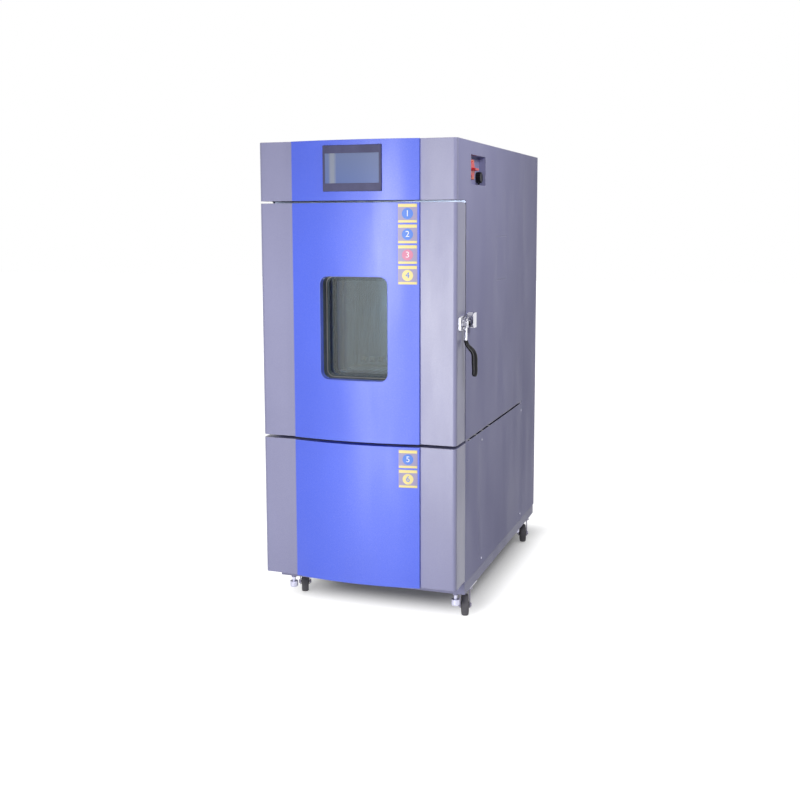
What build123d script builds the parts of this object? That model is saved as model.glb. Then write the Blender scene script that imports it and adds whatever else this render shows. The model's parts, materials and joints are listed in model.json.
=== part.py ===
from build123d import *
import os
from math import cos, radians, sin, sqrt

os.makedirs("parts", exist_ok=True)

# Floor-standing temperature and humidity chamber, in millimetres.
# X runs to the right as seen from the front, Z runs up, and the door faces -Y.
# The origin lies on the floor under the middle of the cabinet.

# Overall cabinet
width = 674.0
depth = 1200.0
height = 1600.0
skin = 1.5
corner_radius = 12.0

# Bowed blue panels on the front
panel_width = 434.0
panel_lip = 8.0
bow_rise = 21.0
panel_skin = 1.5

# Levels of the three stacked sections
caster_height = 107.0
frame_height = 40.0
frame_wall = 3.0
apron_bottom = 157.0
base_top = 623.0
section_gap = 10.0
door_height = 770.0
door_top_gap = 7.0

# Depths measured from the flat front strips towards the rear
door_depth = 100.0
gasket_gap = 8.0
column_depth = 253.0
side_seam_depth = 14.0

# Test space and the air duct behind it
chamber_width = 450.0
chamber_height = 500.0
chamber_depth = 450.0
chamber_floor = 760.0
duct_depth = 130.0
liner_wall = 1.5
liner_flange = 2.0
insulation_back = 110.0

# Window in the door
window_width = 232.0
window_height = 336.0
window_radius = 27.0
window_middle = 1001.0
window_wall = 2.0
pane_thickness = 4.0
pane_clearance = 0.3

# Touchscreen in the control head
screen_width = 198.0
screen_height = 144.0
screen_middle = 1511.0
glass_width = 183.0
glass_height = 94.0
bezel_proud = 1.5
glass_pocket = 3.0
glass_recess = 1.2
box_width = 178.0
box_height = 124.0
box_depth = 40.0

# Running clearances
pin_clearance = 0.05
running_gap = 0.3

# Derived reference planes
half_width = width / 2
cabinet_half = half_width - skin
bow_total = bow_rise + panel_lip
front_y = -(depth - bow_total) / 2
rear_y = front_y + depth
body_front_y = front_y + door_depth + gasket_gap
door_rear_y = front_y + door_depth
column_y = rear_y - column_depth
frame_top = caster_height + frame_height
door_bottom = base_top + section_gap
door_top = door_bottom + door_height
head_bottom = door_top + door_top_gap
chamber_half = chamber_width / 2
chamber_top = chamber_floor + chamber_height
chamber_front_y = body_front_y + liner_flange
baffle_y = chamber_front_y + chamber_depth
duct_rear_y = baffle_y + duct_depth
bow_radius = ((panel_width / 2) ** 2 + bow_rise**2) / (2 * bow_rise)


def level(z):
    """Horizontal sketch plane at height z."""
    return Plane.XY.offset(z)


def facing(y):
    """Upright sketch plane at depth y: its normal points to the front, so -amount goes to the rear."""
    return Plane.XZ.offset(-y)


def across(x):
    """Upright sketch plane at width x, normal +X, with local x along +Y."""
    return Plane.YZ.offset(x)


def bow_y(x, inset=0.0):
    """Depth of the bowed panel's face at width x, or of its inner face when inset."""
    radius = bow_radius - inset
    return front_y - bow_total + bow_radius - sqrt(radius**2 - x**2)


def bowed_tray(bottom, top):
    """Pressed tray with a bowed face, four returned edges and an open back."""
    half = panel_width / 2
    edge_y = bow_y(half)
    inner_half = half - panel_skin
    inner_edge_y = bow_y(inner_half, panel_skin)
    with BuildPart() as tray:
        with BuildSketch(level(bottom)):
            with BuildLine():
                ThreePointArc((-half, edge_y), (0, bow_y(0)), (half, edge_y))
                Polyline((half, edge_y), (half, front_y), (-half, front_y), (-half, edge_y))
            make_face()
        extrude(amount=top - bottom)
        with BuildSketch(level(bottom + panel_skin)):
            with BuildLine():
                ThreePointArc(
                    (-inner_half, inner_edge_y),
                    (0, bow_y(0, panel_skin)),
                    (inner_half, inner_edge_y),
                )
                Polyline(
                    (inner_half, inner_edge_y),
                    (inner_half, front_y),
                    (-inner_half, front_y),
                    (-inner_half, inner_edge_y),
                )
            make_face()
        extrude(amount=top - bottom - 2 * panel_skin, mode=Mode.SUBTRACT)
    return tray.part


# Base frame: a folded channel ring with pads for the casters and nuts for the feet
frame_inset = 2.5
frame_front_gap = 8.0
frame_rear_gap = 6.0
frame_front_y = body_front_y + frame_front_gap
frame_rear_y = rear_y - frame_rear_gap
frame_half = half_width - frame_inset
frame_length = frame_rear_y - frame_front_y
frame_middle_y = (frame_rear_y + frame_front_y) / 2
flange_width = 50.0

caster_x = 300.0
caster_inset = 124.0
caster_rear_inset = 46.0
plate_width = 68.0
plate_length = 90.0
plate_thickness = 3.0
pad_thickness = 4.0
caster_front_y = frame_front_y + caster_inset
caster_rear_y = frame_rear_y - caster_rear_inset
caster_turns = {
    "front_right": (caster_x, caster_front_y, -72.0),
    "front_left": (-caster_x, caster_front_y, 114.0),
    "rear_right": (caster_x, caster_rear_y, -74.0),
    "rear_left": (-caster_x, caster_rear_y, 108.0),
}

foot_x = 297.0
foot_inset = 22.0
foot_rear_spacing = 110.0
foot_stem_radius = 6.0
foot_front_y = frame_front_y + foot_inset
foot_rear_y = caster_rear_y - foot_rear_spacing
foot_places = {
    "front_right": (foot_x, foot_front_y),
    "front_left": (-foot_x, foot_front_y),
    "rear_right": (foot_x, foot_rear_y),
    "rear_left": (-foot_x, foot_rear_y),
}
nut_height = 10.0
nut_across_flats = 18.0
pan_thickness = 2.0
pan_lap = 12.0
pan_front_y = frame_front_y + flange_width - pan_lap
post_size = 26.0
deck_thickness = 4.0
post_x = cabinet_half - post_size / 2
post_front_y = frame_front_y + post_size / 2
post_rear_y = column_y - post_size / 2

with BuildPart() as base_frame:
    with BuildSketch(level(caster_height)):
        with Locations((0, frame_middle_y)):
            Rectangle(2 * frame_half, frame_length)
            Rectangle(2 * (frame_half - flange_width), frame_length - 2 * flange_width, mode=Mode.SUBTRACT)
    extrude(amount=frame_height)
    with BuildSketch(level(caster_height + frame_wall)):
        with Locations((0, frame_middle_y)):
            Rectangle(2 * (frame_half - frame_wall), frame_length - 2 * frame_wall)
    extrude(amount=frame_height - 2 * frame_wall, mode=Mode.SUBTRACT)
    # Pads that close the corner over each caster
    with BuildSketch(level(caster_height)):
        with Locations(*[(x, y) for x, y, turn in caster_turns.values()]):
            Rectangle(plate_width, plate_length)
    extrude(amount=pad_thickness)
    # Weld nuts for the levelling feet, bored right through both flanges
    with BuildSketch(level(caster_height)):
        with Locations(*foot_places.values()):
            RegularPolygon(nut_across_flats / 2, 6, major_radius=False)
    extrude(amount=-nut_height)
    with BuildSketch(level(caster_height - nut_height)):
        with Locations(*foot_places.values()):
            Circle(foot_stem_radius + pin_clearance)
    extrude(amount=nut_height + frame_height, mode=Mode.SUBTRACT)
    # Floor pan that the machinery stands on
    with BuildSketch(level(frame_top)):
        with Locations((0, (pan_front_y + column_y) / 2)):
            Rectangle(2 * frame_half, column_y - pan_front_y)
    extrude(amount=pan_thickness)
    # Corner posts and the deck that carries the insulated cabinet
    with BuildSketch(level(frame_top)):
        with Locations(*[(x, y) for x in (-post_x, post_x) for y in (post_front_y, post_rear_y)]):
            Rectangle(post_size, post_size)
    extrude(amount=door_bottom - frame_top)
    with BuildSketch(level(door_bottom)):
        with Locations((0, (frame_front_y + column_y) / 2)):
            Rectangle(2 * cabinet_half, column_y - frame_front_y)
    extrude(amount=-deck_thickness)
base_frame.part.label = "base_frame"
export_step(base_frame.part, "parts/base_frame.step")

# Casters: top plate with raceway and kingpin, pressed fork with its axle bolt, and the wheel
wheel_radius = 37.5
wheel_width = 25.0
hub_width = 29.0
axle_radius = 4.0
caster_trail = 28.0
fork_inner = 31.0
fork_wall = 3.0
fork_top = 91.0
race_radius = 24.0
kingpin_radius = 6.0
kingpin_head = 10.0
leg_foot_radius = 12.0
axle_head_radius = 7.0
axle_head_height = 4.0

with BuildPart() as caster_plates:
    with BuildSketch(level(caster_height)):
        with Locations(*[(x, y) for x, y, turn in caster_turns.values()]):
            RectangleRounded(plate_width, plate_length, 8)
    extrude(amount=-plate_thickness)
    with BuildSketch(level(caster_height - plate_thickness)):
        with Locations(*[(x, y) for x, y, turn in caster_turns.values()]):
            Circle(race_radius)
    extrude(amount=-(caster_height - plate_thickness - fork_top - running_gap))
    with BuildSketch(level(fork_top + running_gap)):
        with Locations(*[(x, y) for x, y, turn in caster_turns.values()]):
            Circle(kingpin_radius)
    extrude(amount=-(2 * running_gap + fork_wall))
    with BuildSketch(level(fork_top - fork_wall - running_gap)):
        with Locations(*[(x, y) for x, y, turn in caster_turns.values()]):
            Circle(kingpin_head)
    extrude(amount=-3)
caster_plates.part.label = "caster_plates"
export_step(caster_plates.part, "parts/caster_plates.step")

for corner, (place_x, place_y, turn) in caster_turns.items():
    roll = Vector(cos(radians(turn)), sin(radians(turn)), 0)
    side = Vector(-sin(radians(turn)), cos(radians(turn)), 0)
    pivot = Vector(place_x, place_y, 0)
    axle = pivot + roll * caster_trail + Vector(0, 0, wheel_radius)
    cheek = Plane(origin=pivot, x_dir=roll, z_dir=-side)
    crown = Plane(origin=pivot, x_dir=roll, z_dir=(0, 0, 1))
    outer_width = fork_inner + 2 * fork_wall

    with BuildPart() as fork:
        with BuildSketch(cheek.offset(-outer_width / 2)):
            with BuildLine():
                Polyline(
                    (-25, fork_top),
                    (-25, fork_top - 9),
                    (caster_trail - leg_foot_radius, wheel_radius),
                )
                RadiusArc(
                    (caster_trail - leg_foot_radius, wheel_radius),
                    (caster_trail + leg_foot_radius, wheel_radius),
                    -leg_foot_radius,
                )
                Polyline(
                    (caster_trail + leg_foot_radius, wheel_radius),
                    (29, fork_top - 14),
                    (25, fork_top),
                    (-25, fork_top),
                )
            make_face()
        extrude(amount=outer_width)
        with BuildSketch(cheek.offset(-fork_inner / 2)):
            with Locations((10, (fork_top - fork_wall) / 2)):
                Rectangle(100, fork_top - fork_wall)
        extrude(amount=fork_inner, mode=Mode.SUBTRACT)
        with BuildSketch(crown.offset(fork_top)):
            Circle(race_radius + 4)
        extrude(amount=-fork_wall)
        with BuildSketch(crown.offset(fork_top)):
            Circle(kingpin_radius + pin_clearance)
        extrude(amount=-fork_wall, mode=Mode.SUBTRACT)
        with BuildSketch(cheek.offset(-outer_width / 2)):
            with Locations((caster_trail, wheel_radius)):
                Circle(axle_radius)
        extrude(amount=outer_width, mode=Mode.SUBTRACT)
    # The axle bolt is a second solid, with a head against each cheek
    with BuildPart() as bolt:
        with BuildSketch(cheek.offset(-outer_width / 2 - axle_head_height)):
            with Locations((caster_trail, wheel_radius)):
                RegularPolygon(axle_head_radius, 6)
        extrude(amount=axle_head_height)
        with BuildSketch(cheek.offset(-outer_width / 2)):
            with Locations((caster_trail, wheel_radius)):
                Circle(axle_radius)
        extrude(amount=outer_width)
        with BuildSketch(cheek.offset(outer_width / 2)):
            with Locations((caster_trail, wheel_radius)):
                RegularPolygon(axle_head_radius, 6)
        extrude(amount=axle_head_height)
    fork_set = Compound(children=[fork.part, bolt.part])
    fork_set.label = f"caster_fork_{corner}"
    export_step(fork_set, f"parts/caster_fork_{corner}.step")

    with BuildPart() as wheel:
        wheel_plane = Plane(origin=axle, x_dir=(0, 0, 1), z_dir=roll)
        with BuildSketch(wheel_plane):
            bore = axle_radius + pin_clearance
            tread = wheel_width / 2
            with BuildLine():
                Polyline(
                    (bore, -hub_width / 2),
                    (13, -hub_width / 2),
                    (15, -tread + 4),
                    (27, -tread + 4),
                    (29, -tread),
                    (wheel_radius - 3, -tread),
                    (wheel_radius, -tread + 5),
                    (wheel_radius, tread - 5),
                    (wheel_radius - 3, tread),
                    (29, tread),
                    (27, tread - 4),
                    (15, tread - 4),
                    (13, hub_width / 2),
                    (bore, hub_width / 2),
                    close=True,
                )
            make_face()
        revolve(axis=Axis(axle, side))
    wheel.part.label = f"caster_wheel_{corner}"
    export_step(wheel.part, f"parts/caster_wheel_{corner}.step")

# Levelling feet: threaded stems with a rounded tip, wound up clear of the floor
foot_tip_radius = 14.0
foot_tip_height = 22.0
foot_clearance = 60.0
foot_stem_top = 205.0
for corner, (place_x, place_y) in foot_places.items():
    with BuildPart() as foot:
        with BuildSketch(level(foot_clearance)):
            with Locations((place_x, place_y)):
                Circle(foot_tip_radius)
        extrude(amount=foot_tip_height)
        fillet(foot.edges().filter_by(GeomType.CIRCLE).sort_by(Axis.Z)[0], radius=6)
        with BuildSketch(level(foot_clearance + foot_tip_height)):
            with Locations((place_x, place_y)):
                Circle(foot_stem_radius)
        extrude(amount=foot_stem_top - foot_clearance - foot_tip_height)
    foot.part.label = f"levelling_foot_{corner}"
    export_step(foot.part, f"parts/levelling_foot_{corner}.step")

# Base apron: grey folded shell with rounded corners behind the lower blue panel
with BuildPart() as base_apron:
    with BuildSketch(level(apron_bottom)):
        with Locations((0, (front_y + body_front_y) / 2)):
            Rectangle(width, body_front_y - front_y)
    extrude(amount=base_top - apron_bottom)
    front_corners = base_apron.edges().filter_by(Axis.Z).group_by(Axis.Y)[0]
    fillet(front_corners, radius=corner_radius)
    offset(amount=-skin, openings=base_apron.faces().sort_by(Axis.Y)[-1])
base_apron.part.label = "base_apron"
export_step(base_apron.part, "parts/base_apron.step")

base_tray = bowed_tray(apron_bottom, base_top)
with BuildPart() as base_front_panel:
    add(base_tray)
base_front_panel.part.label = "base_front_panel"
export_step(base_front_panel.part, "parts/base_front_panel.step")

# Base sides: on each side a fixed front strip and a removable cover held by screws, all flush
base_strip_depth = 187.0
screw_radius = 4.0
screw_head = 1.2
screw_edge = 21.0
screw_level = 28.0
strip_rear_y = body_front_y + base_strip_depth
with BuildPart() as base_side_strips:
    for sign in (-1, 1):
        with BuildSketch(across(sign * half_width)):
            with Locations(((body_front_y + strip_rear_y) / 2, (frame_top + base_top) / 2)):
                Rectangle(strip_rear_y - body_front_y, base_top - frame_top)
        extrude(amount=-sign * skin)
base_side_strips.part.label = "base_side_strips"
export_step(base_side_strips.part, "parts/base_side_strips.step")

with BuildPart() as base_side_covers:
    for sign in (-1, 1):
        with BuildSketch(across(sign * half_width)):
            with Locations(((strip_rear_y + column_y) / 2, (frame_top + base_top) / 2)):
                Rectangle(column_y - strip_rear_y - 2 * running_gap, base_top - frame_top)
        extrude(amount=-sign * skin)
        with BuildSketch(across(sign * half_width)):
            for edge_y in (strip_rear_y + screw_edge, column_y - screw_edge):
                for edge_z in (base_top - screw_level, frame_top + screw_level):
                    with Locations((edge_y, edge_z)):
                        Circle(screw_radius)
        extrude(amount=sign * screw_head)
base_side_covers.part.label = "base_side_covers"
export_step(base_side_covers.part, "parts/base_side_covers.step")

# Upper side sheets: L-shaped, with a rounded notch for the door and returned edges hidden behind
notch_radius = 16.0
recess_width = 188.0
recess_height = 96.0
recess_depth = 26.0
recess_front = 163.0
recess_bottom = 1461.0
service_size = 155.0
service_front = 505.0
service_bottom = 1134.0
service_lip = 5.0
port_depth = 340.0
port_height = 1010.0
port_radius = 25.0
port_wall = 2.0
seam_y = front_y + side_seam_depth
recess_y = front_y + recess_front
service_y = front_y + service_front
port_y = front_y + port_depth


def side_sheet(sign):
    """Side sheet from the door's rear edge to the column, reaching forward beside the head."""
    with BuildPart() as sheet:
        with BuildSketch(across(sign * half_width)):
            with BuildLine():
                Polyline(
                    (body_front_y, head_bottom - notch_radius),
                    (body_front_y, door_bottom),
                    (column_y, door_bottom),
                    (column_y, height),
                    (seam_y, height),
                    (seam_y, head_bottom),
                    (body_front_y - notch_radius, head_bottom),
                )
                TangentArc(
                    (body_front_y - notch_radius, head_bottom),
                    (body_front_y, head_bottom - notch_radius),
                    tangent=(1, 0),
                )
            make_face()
        extrude(amount=-sign * skin)
    return sheet.part


right_sheet = side_sheet(1)
left_sheet = side_sheet(-1)

with BuildPart() as side_panel_right:
    add(right_sheet)
    # Openings for the switch recess and the flush service cover
    with BuildSketch(across(half_width)):
        with Locations((recess_y + recess_width / 2, recess_bottom + recess_height / 2)):
            Rectangle(recess_width, recess_height)
        with Locations((service_y + service_size / 2, service_bottom + service_size / 2)):
            Rectangle(service_size, service_size)
    extrude(amount=-skin, mode=Mode.SUBTRACT)
    # Folded pocket behind the recess opening
    with BuildSketch(across(cabinet_half)):
        with Locations((recess_y + recess_width / 2, recess_bottom + recess_height / 2)):
            Rectangle(recess_width + 2 * skin, recess_height + 2 * skin)
    extrude(amount=-recess_depth)
    with BuildSketch(across(cabinet_half)):
        with Locations((recess_y + recess_width / 2, recess_bottom + recess_height / 2)):
            Rectangle(recess_width, recess_height)
    extrude(amount=-(recess_depth - skin), mode=Mode.SUBTRACT)
side_panel_right.part.label = "side_panel_right"
export_step(side_panel_right.part, "parts/side_panel_right.step")

with BuildPart() as side_panel_left:
    add(left_sheet)
    with BuildSketch(across(-half_width)):
        with Locations((port_y, port_height)):
            Circle(port_radius + port_wall)
    extrude(amount=skin, mode=Mode.SUBTRACT)
side_panel_left.part.label = "side_panel_left"
export_step(side_panel_left.part, "parts/side_panel_left.step")

# Flush service cover: its face fills the opening and its joggled lip bears on the inside of the sheet
cover_line = 0.4
lip_thickness = 1.0
with BuildPart() as service_cover:
    with BuildSketch(across(half_width)):
        with Locations((service_y + service_size / 2, service_bottom + service_size / 2)):
            RectangleRounded(service_size - 2 * cover_line, service_size - 2 * cover_line, 4)
    extrude(amount=-skin)
    with BuildSketch(across(cabinet_half)):
        with Locations((service_y + service_size / 2, service_bottom + service_size / 2)):
            RectangleRounded(service_size + 2 * service_lip, service_size + 2 * service_lip, 4)
    extrude(amount=-lip_thickness)
service_cover.part.label = "service_cover"
export_step(service_cover.part, "parts/service_cover.step")

# Flat top sheet between the side sheets
cover_flange = 18.0
with BuildPart() as top_cover:
    with BuildSketch(level(height)):
        with Locations((0, (seam_y + column_y) / 2)):
            Rectangle(2 * cabinet_half, column_y - seam_y)
    extrude(amount=-skin)
    # Folded flanges along both sides, inside the side sheets
    for sign in (-1, 1):
        with BuildSketch(across(sign * cabinet_half)):
            with Locations(((seam_y + column_y) / 2, height - skin - cover_flange / 2)):
                Rectangle(column_y - seam_y, cover_flange)
        extrude(amount=-sign * skin)
top_cover.part.label = "top_cover"
export_step(top_cover.part, "parts/top_cover.step")

# Head shell: grey front of the control head with rounded corners, and the floor that closes the head above the door
with BuildPart() as head_shell:
    with BuildSketch(level(head_bottom)):
        with Locations((0, (front_y + seam_y) / 2)):
            Rectangle(width, seam_y - front_y)
    extrude(amount=height - head_bottom)
    head_corners = head_shell.edges().filter_by(Axis.Z).group_by(Axis.Y)[0]
    fillet(head_corners, radius=corner_radius)
    offset(amount=-skin, openings=head_shell.faces().sort_by(Axis.Y)[-1])
    with BuildSketch(level(head_bottom)):
        with Locations((0, (seam_y + body_front_y) / 2)):
            Rectangle(2 * cabinet_half, body_front_y - seam_y)
    extrude(amount=skin)
    with BuildSketch(facing(front_y)):
        with Locations((0, screen_middle)):
            Rectangle(box_width, box_height)
    extrude(amount=-skin, mode=Mode.SUBTRACT)
head_shell.part.label = "head_shell"
export_step(head_shell.part, "parts/head_shell.step")

head_tray = bowed_tray(head_bottom, height)
with BuildPart() as head_front_panel:
    add(head_tray)
    with BuildSketch(facing(front_y)):
        with Locations((0, screen_middle)):
            Rectangle(screen_width + 2 * running_gap, screen_height + 2 * running_gap)
    extrude(amount=bow_total + 1, mode=Mode.SUBTRACT)
head_front_panel.part.label = "head_front_panel"
export_step(head_front_panel.part, "parts/head_front_panel.step")

# Touchscreen: a bezel that fills the opening in the bowed panel, with its back box, and the glass
bezel_face_y = front_y - bow_total - bezel_proud
with BuildPart() as touchscreen_bezel:
    with BuildSketch(facing(bezel_face_y)):
        with Locations((0, screen_middle)):
            RectangleRounded(screen_width, screen_height, 3)
    extrude(amount=-(bow_total + bezel_proud))
    chamfer(touchscreen_bezel.faces().sort_by(Axis.Y)[0].edges(), length=1)
    with BuildSketch(facing(front_y)):
        with Locations((0, screen_middle)):
            Rectangle(box_width - 2 * running_gap, box_height - 2 * running_gap)
    extrude(amount=-box_depth)
    with BuildSketch(facing(bezel_face_y)):
        with Locations((0, screen_middle)):
            Rectangle(glass_width, glass_height)
    extrude(amount=-glass_pocket, mode=Mode.SUBTRACT)
touchscreen_bezel.part.label = "touchscreen_bezel"
export_step(touchscreen_bezel.part, "parts/touchscreen_bezel.step")

with BuildPart() as touchscreen_glass:
    with BuildSketch(facing(bezel_face_y + glass_recess)):
        with Locations((0, screen_middle)):
            Rectangle(glass_width, glass_height)
    extrude(amount=-(glass_pocket - glass_recess))
touchscreen_glass.part.label = "touchscreen_glass"
export_step(touchscreen_glass.part, "parts/touchscreen_glass.step")

# Rear column: casing round the electrical space, open at the back for the service panel
column_rim = 30.0
panel_fold = 10.0
with BuildPart() as rear_column:
    with BuildSketch(level(frame_top)):
        with Locations((0, (column_y + rear_y) / 2)):
            Rectangle(width, rear_y - column_y)
    extrude(amount=height - frame_top)
    fillet(rear_column.edges().filter_by(Axis.Z).group_by(Axis.Y)[-1], radius=3)
    offset(amount=-skin, openings=rear_column.faces().sort_by(Axis.Z)[0])
    # Window at the back for the service panel and an open front towards the cabinet
    with BuildSketch(facing(rear_y)):
        with Locations((0, (frame_top + height) / 2)):
            Rectangle(width - 2 * column_rim, height - frame_top - 2 * column_rim)
    extrude(amount=skin, mode=Mode.SUBTRACT)
    with BuildSketch(facing(column_y)):
        with Locations((0, (frame_top + height) / 2)):
            Rectangle(width - 2 * panel_fold, height - frame_top - 2 * panel_fold)
    extrude(amount=-skin, mode=Mode.SUBTRACT)
rear_column.part.label = "rear_column"
export_step(rear_column.part, "parts/rear_column.step")

# Service panel at the back: flush sheet with a lip behind the column's rim and two banks of louvres
louvre_width = 190.0
louvre_height = 9.0
louvre_rise = 5.0
louvre_pitch = 22.0
louvre_count = 12
louvre_offset = 130.0
louvre_bottom = 230.0
panel_width_back = width - 2 * column_rim - 2 * running_gap
panel_height_back = height - frame_top - 2 * column_rim - 2 * running_gap
with BuildPart() as rear_service_panel:
    with BuildSketch(facing(rear_y)):
        with Locations((0, (frame_top + height) / 2)):
            Rectangle(panel_width_back, panel_height_back)
    extrude(amount=skin)
    with BuildSketch(facing(rear_y - skin)):
        with Locations((0, (frame_top + height) / 2)):
            Rectangle(panel_width_back + 2 * panel_fold, panel_height_back + 2 * panel_fold)
    extrude(amount=1)
    # Louvres: hooded slots that face down
    for side in (-1, 1):
        for row in range(louvre_count):
            slot_z = louvre_bottom + row * louvre_pitch
            hood_x = side * louvre_offset - louvre_width / 2
            with BuildSketch(across(hood_x)):
                Polygon(
                    (rear_y, slot_z),
                    (rear_y + louvre_rise, slot_z),
                    (rear_y, slot_z + louvre_height + skin),
                    align=None,
                )
            extrude(amount=louvre_width)
            with BuildSketch(across(hood_x + 1)):
                Polygon(
                    (rear_y - skin - 1, slot_z),
                    (rear_y + louvre_rise - 1, slot_z),
                    (rear_y, slot_z + louvre_height - skin),
                    (rear_y - skin - 1, slot_z + louvre_height - skin),
                    align=None,
                )
            extrude(amount=louvre_width - 2, mode=Mode.SUBTRACT)
rear_service_panel.part.label = "rear_service_panel"
export_step(rear_service_panel.part, "parts/rear_service_panel.step")

# Inner liner: stainless box with a wide flange that the door seals against
fan_height = 1165.0
shaft_radius = 6.0
shaft_hole = 11.0
liner_rear_y = duct_rear_y + liner_wall
liner_middle = chamber_floor + chamber_height / 2
with BuildPart() as inner_liner:
    with BuildSketch(facing(body_front_y)):
        with Locations((0, (door_bottom + head_bottom) / 2)):
            Rectangle(2 * cabinet_half, head_bottom - door_bottom)
    extrude(amount=-liner_flange)
    with BuildSketch(facing(chamber_front_y)):
        with Locations((0, liner_middle)):
            Rectangle(chamber_width + 2 * liner_wall, chamber_height + 2 * liner_wall)
    extrude(amount=-(liner_rear_y - chamber_front_y))
    with BuildSketch(facing(body_front_y)):
        with Locations((0, liner_middle)):
            RectangleRounded(chamber_width, chamber_height, 6)
    extrude(amount=-(duct_rear_y - body_front_y), mode=Mode.SUBTRACT)
    with BuildSketch(across(-chamber_half)):
        with Locations((port_y, port_height)):
            Circle(port_radius + port_wall)
    extrude(amount=-liner_wall, mode=Mode.SUBTRACT)
    with BuildSketch(facing(duct_rear_y)):
        with Locations((0, fan_height)):
            Circle(shaft_hole)
    extrude(amount=-liner_wall, mode=Mode.SUBTRACT)
inner_liner.part.label = "inner_liner"
export_step(inner_liner.part, "parts/inner_liner.step")

# Foam insulation between the liner and the outer sheets
insulation_rear_y = liner_rear_y + insulation_back
insulation_half = cabinet_half - lip_thickness
insulation_top = door_top + 1.0
with BuildPart() as insulation:
    with BuildSketch(facing(chamber_front_y)):
        with Locations((0, (door_bottom + insulation_top) / 2)):
            Rectangle(2 * insulation_half, insulation_top - door_bottom)
    extrude(amount=-(insulation_rear_y - chamber_front_y))
    with BuildSketch(facing(chamber_front_y)):
        with Locations((0, liner_middle)):
            Rectangle(chamber_width + 2 * liner_wall, chamber_height + 2 * liner_wall)
    extrude(amount=-(liner_rear_y - chamber_front_y), mode=Mode.SUBTRACT)
    with BuildSketch(across(-chamber_half - liner_wall)):
        with Locations((port_y, port_height)):
            Circle(port_radius + port_wall)
    extrude(amount=-(insulation_half - chamber_half - liner_wall), mode=Mode.SUBTRACT)
    with BuildSketch(facing(liner_rear_y)):
        with Locations((0, fan_height)):
            Circle(shaft_hole)
    extrude(amount=-insulation_back, mode=Mode.SUBTRACT)
insulation.part.label = "insulation"
export_step(insulation.part, "parts/insulation.step")

# Air baffle: rear wall of the test space, with supply slots at the top and return slots below
slot_width = 22.0
supply_slot = 34.0
return_slot = 26.0
slot_pitch = 34.0
slot_columns = 12
slot_margin = 32.0
with BuildPart() as air_baffle:
    with BuildSketch(facing(baffle_y)):
        with Locations((0, liner_middle)):
            RectangleRounded(chamber_width, chamber_height, 6)
        with Locations((0, chamber_top - slot_margin)):
            with GridLocations(slot_pitch, 0, slot_columns, 1):
                Rectangle(slot_width, supply_slot, mode=Mode.SUBTRACT)
        with Locations((0, chamber_floor + 2 * slot_margin)):
            with GridLocations(slot_pitch, 0, slot_columns, 1):
                Rectangle(slot_width, return_slot, mode=Mode.SUBTRACT)
    extrude(amount=-liner_wall)
air_baffle.part.label = "air_baffle"
export_step(air_baffle.part, "parts/air_baffle.step")

# Shelf uprights: four perforated channels on the side walls with ledges hooked between them
upright_width = 70.0
upright_depth = 8.0
upright_wall = 1.2
upright_margin = 8.0
upright_front = 86.0
upright_rear = 367.0
hole_radius = 4.5
hole_pitch = 33.3
hole_shift = -12.0
hole_middle = 1016.0
hole_count = 14
shelf_level = 800.0
ledge_width = 16.0
ledge_wall = 1.5
upright_height = chamber_height - 2 * upright_margin
upright_places = [chamber_front_y + upright_front, chamber_front_y + upright_rear]
ledge_front_y = upright_places[0] - upright_width / 2
ledge_rear_y = upright_places[1] + upright_width / 2
with BuildPart() as shelf_uprights:
    for sign in (-1, 1):
        wall_x = sign * chamber_half
        with BuildSketch(level(chamber_floor + upright_margin)):
            with Locations(*[(wall_x - sign * upright_depth / 2, y) for y in upright_places]):
                Rectangle(upright_depth, upright_width)
        extrude(amount=upright_height)
        with BuildSketch(level(chamber_floor + upright_margin)):
            with Locations(*[(wall_x - sign * (upright_depth - upright_wall) / 2, y) for y in upright_places]):
                Rectangle(upright_depth - upright_wall, upright_width - 2 * upright_wall)
        extrude(amount=upright_height, mode=Mode.SUBTRACT)
        with BuildSketch(across(wall_x - sign * upright_depth)):
            with Locations(*[(y + hole_shift, hole_middle) for y in upright_places]):
                with GridLocations(0, hole_pitch, 1, hole_count):
                    Circle(hole_radius)
        extrude(amount=sign * upright_wall, mode=Mode.SUBTRACT)
        # Angle ledge under the shelf, with its upright leg on the channels
        leg_x = wall_x - sign * upright_depth
        with BuildSketch(facing(ledge_front_y)):
            with BuildLine():
                Polyline(
                    (leg_x, shelf_level),
                    (leg_x - sign * ledge_width, shelf_level),
                    (leg_x - sign * ledge_width, shelf_level - ledge_wall),
                    (leg_x - sign * ledge_wall, shelf_level - ledge_wall),
                    (leg_x - sign * ledge_wall, shelf_level - 14),
                    (leg_x, shelf_level - 14),
                    close=True,
                )
            make_face()
        extrude(amount=-(ledge_rear_y - ledge_front_y))
shelf_uprights.part.label = "shelf_uprights"
export_step(shelf_uprights.part, "parts/shelf_uprights.step")

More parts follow.
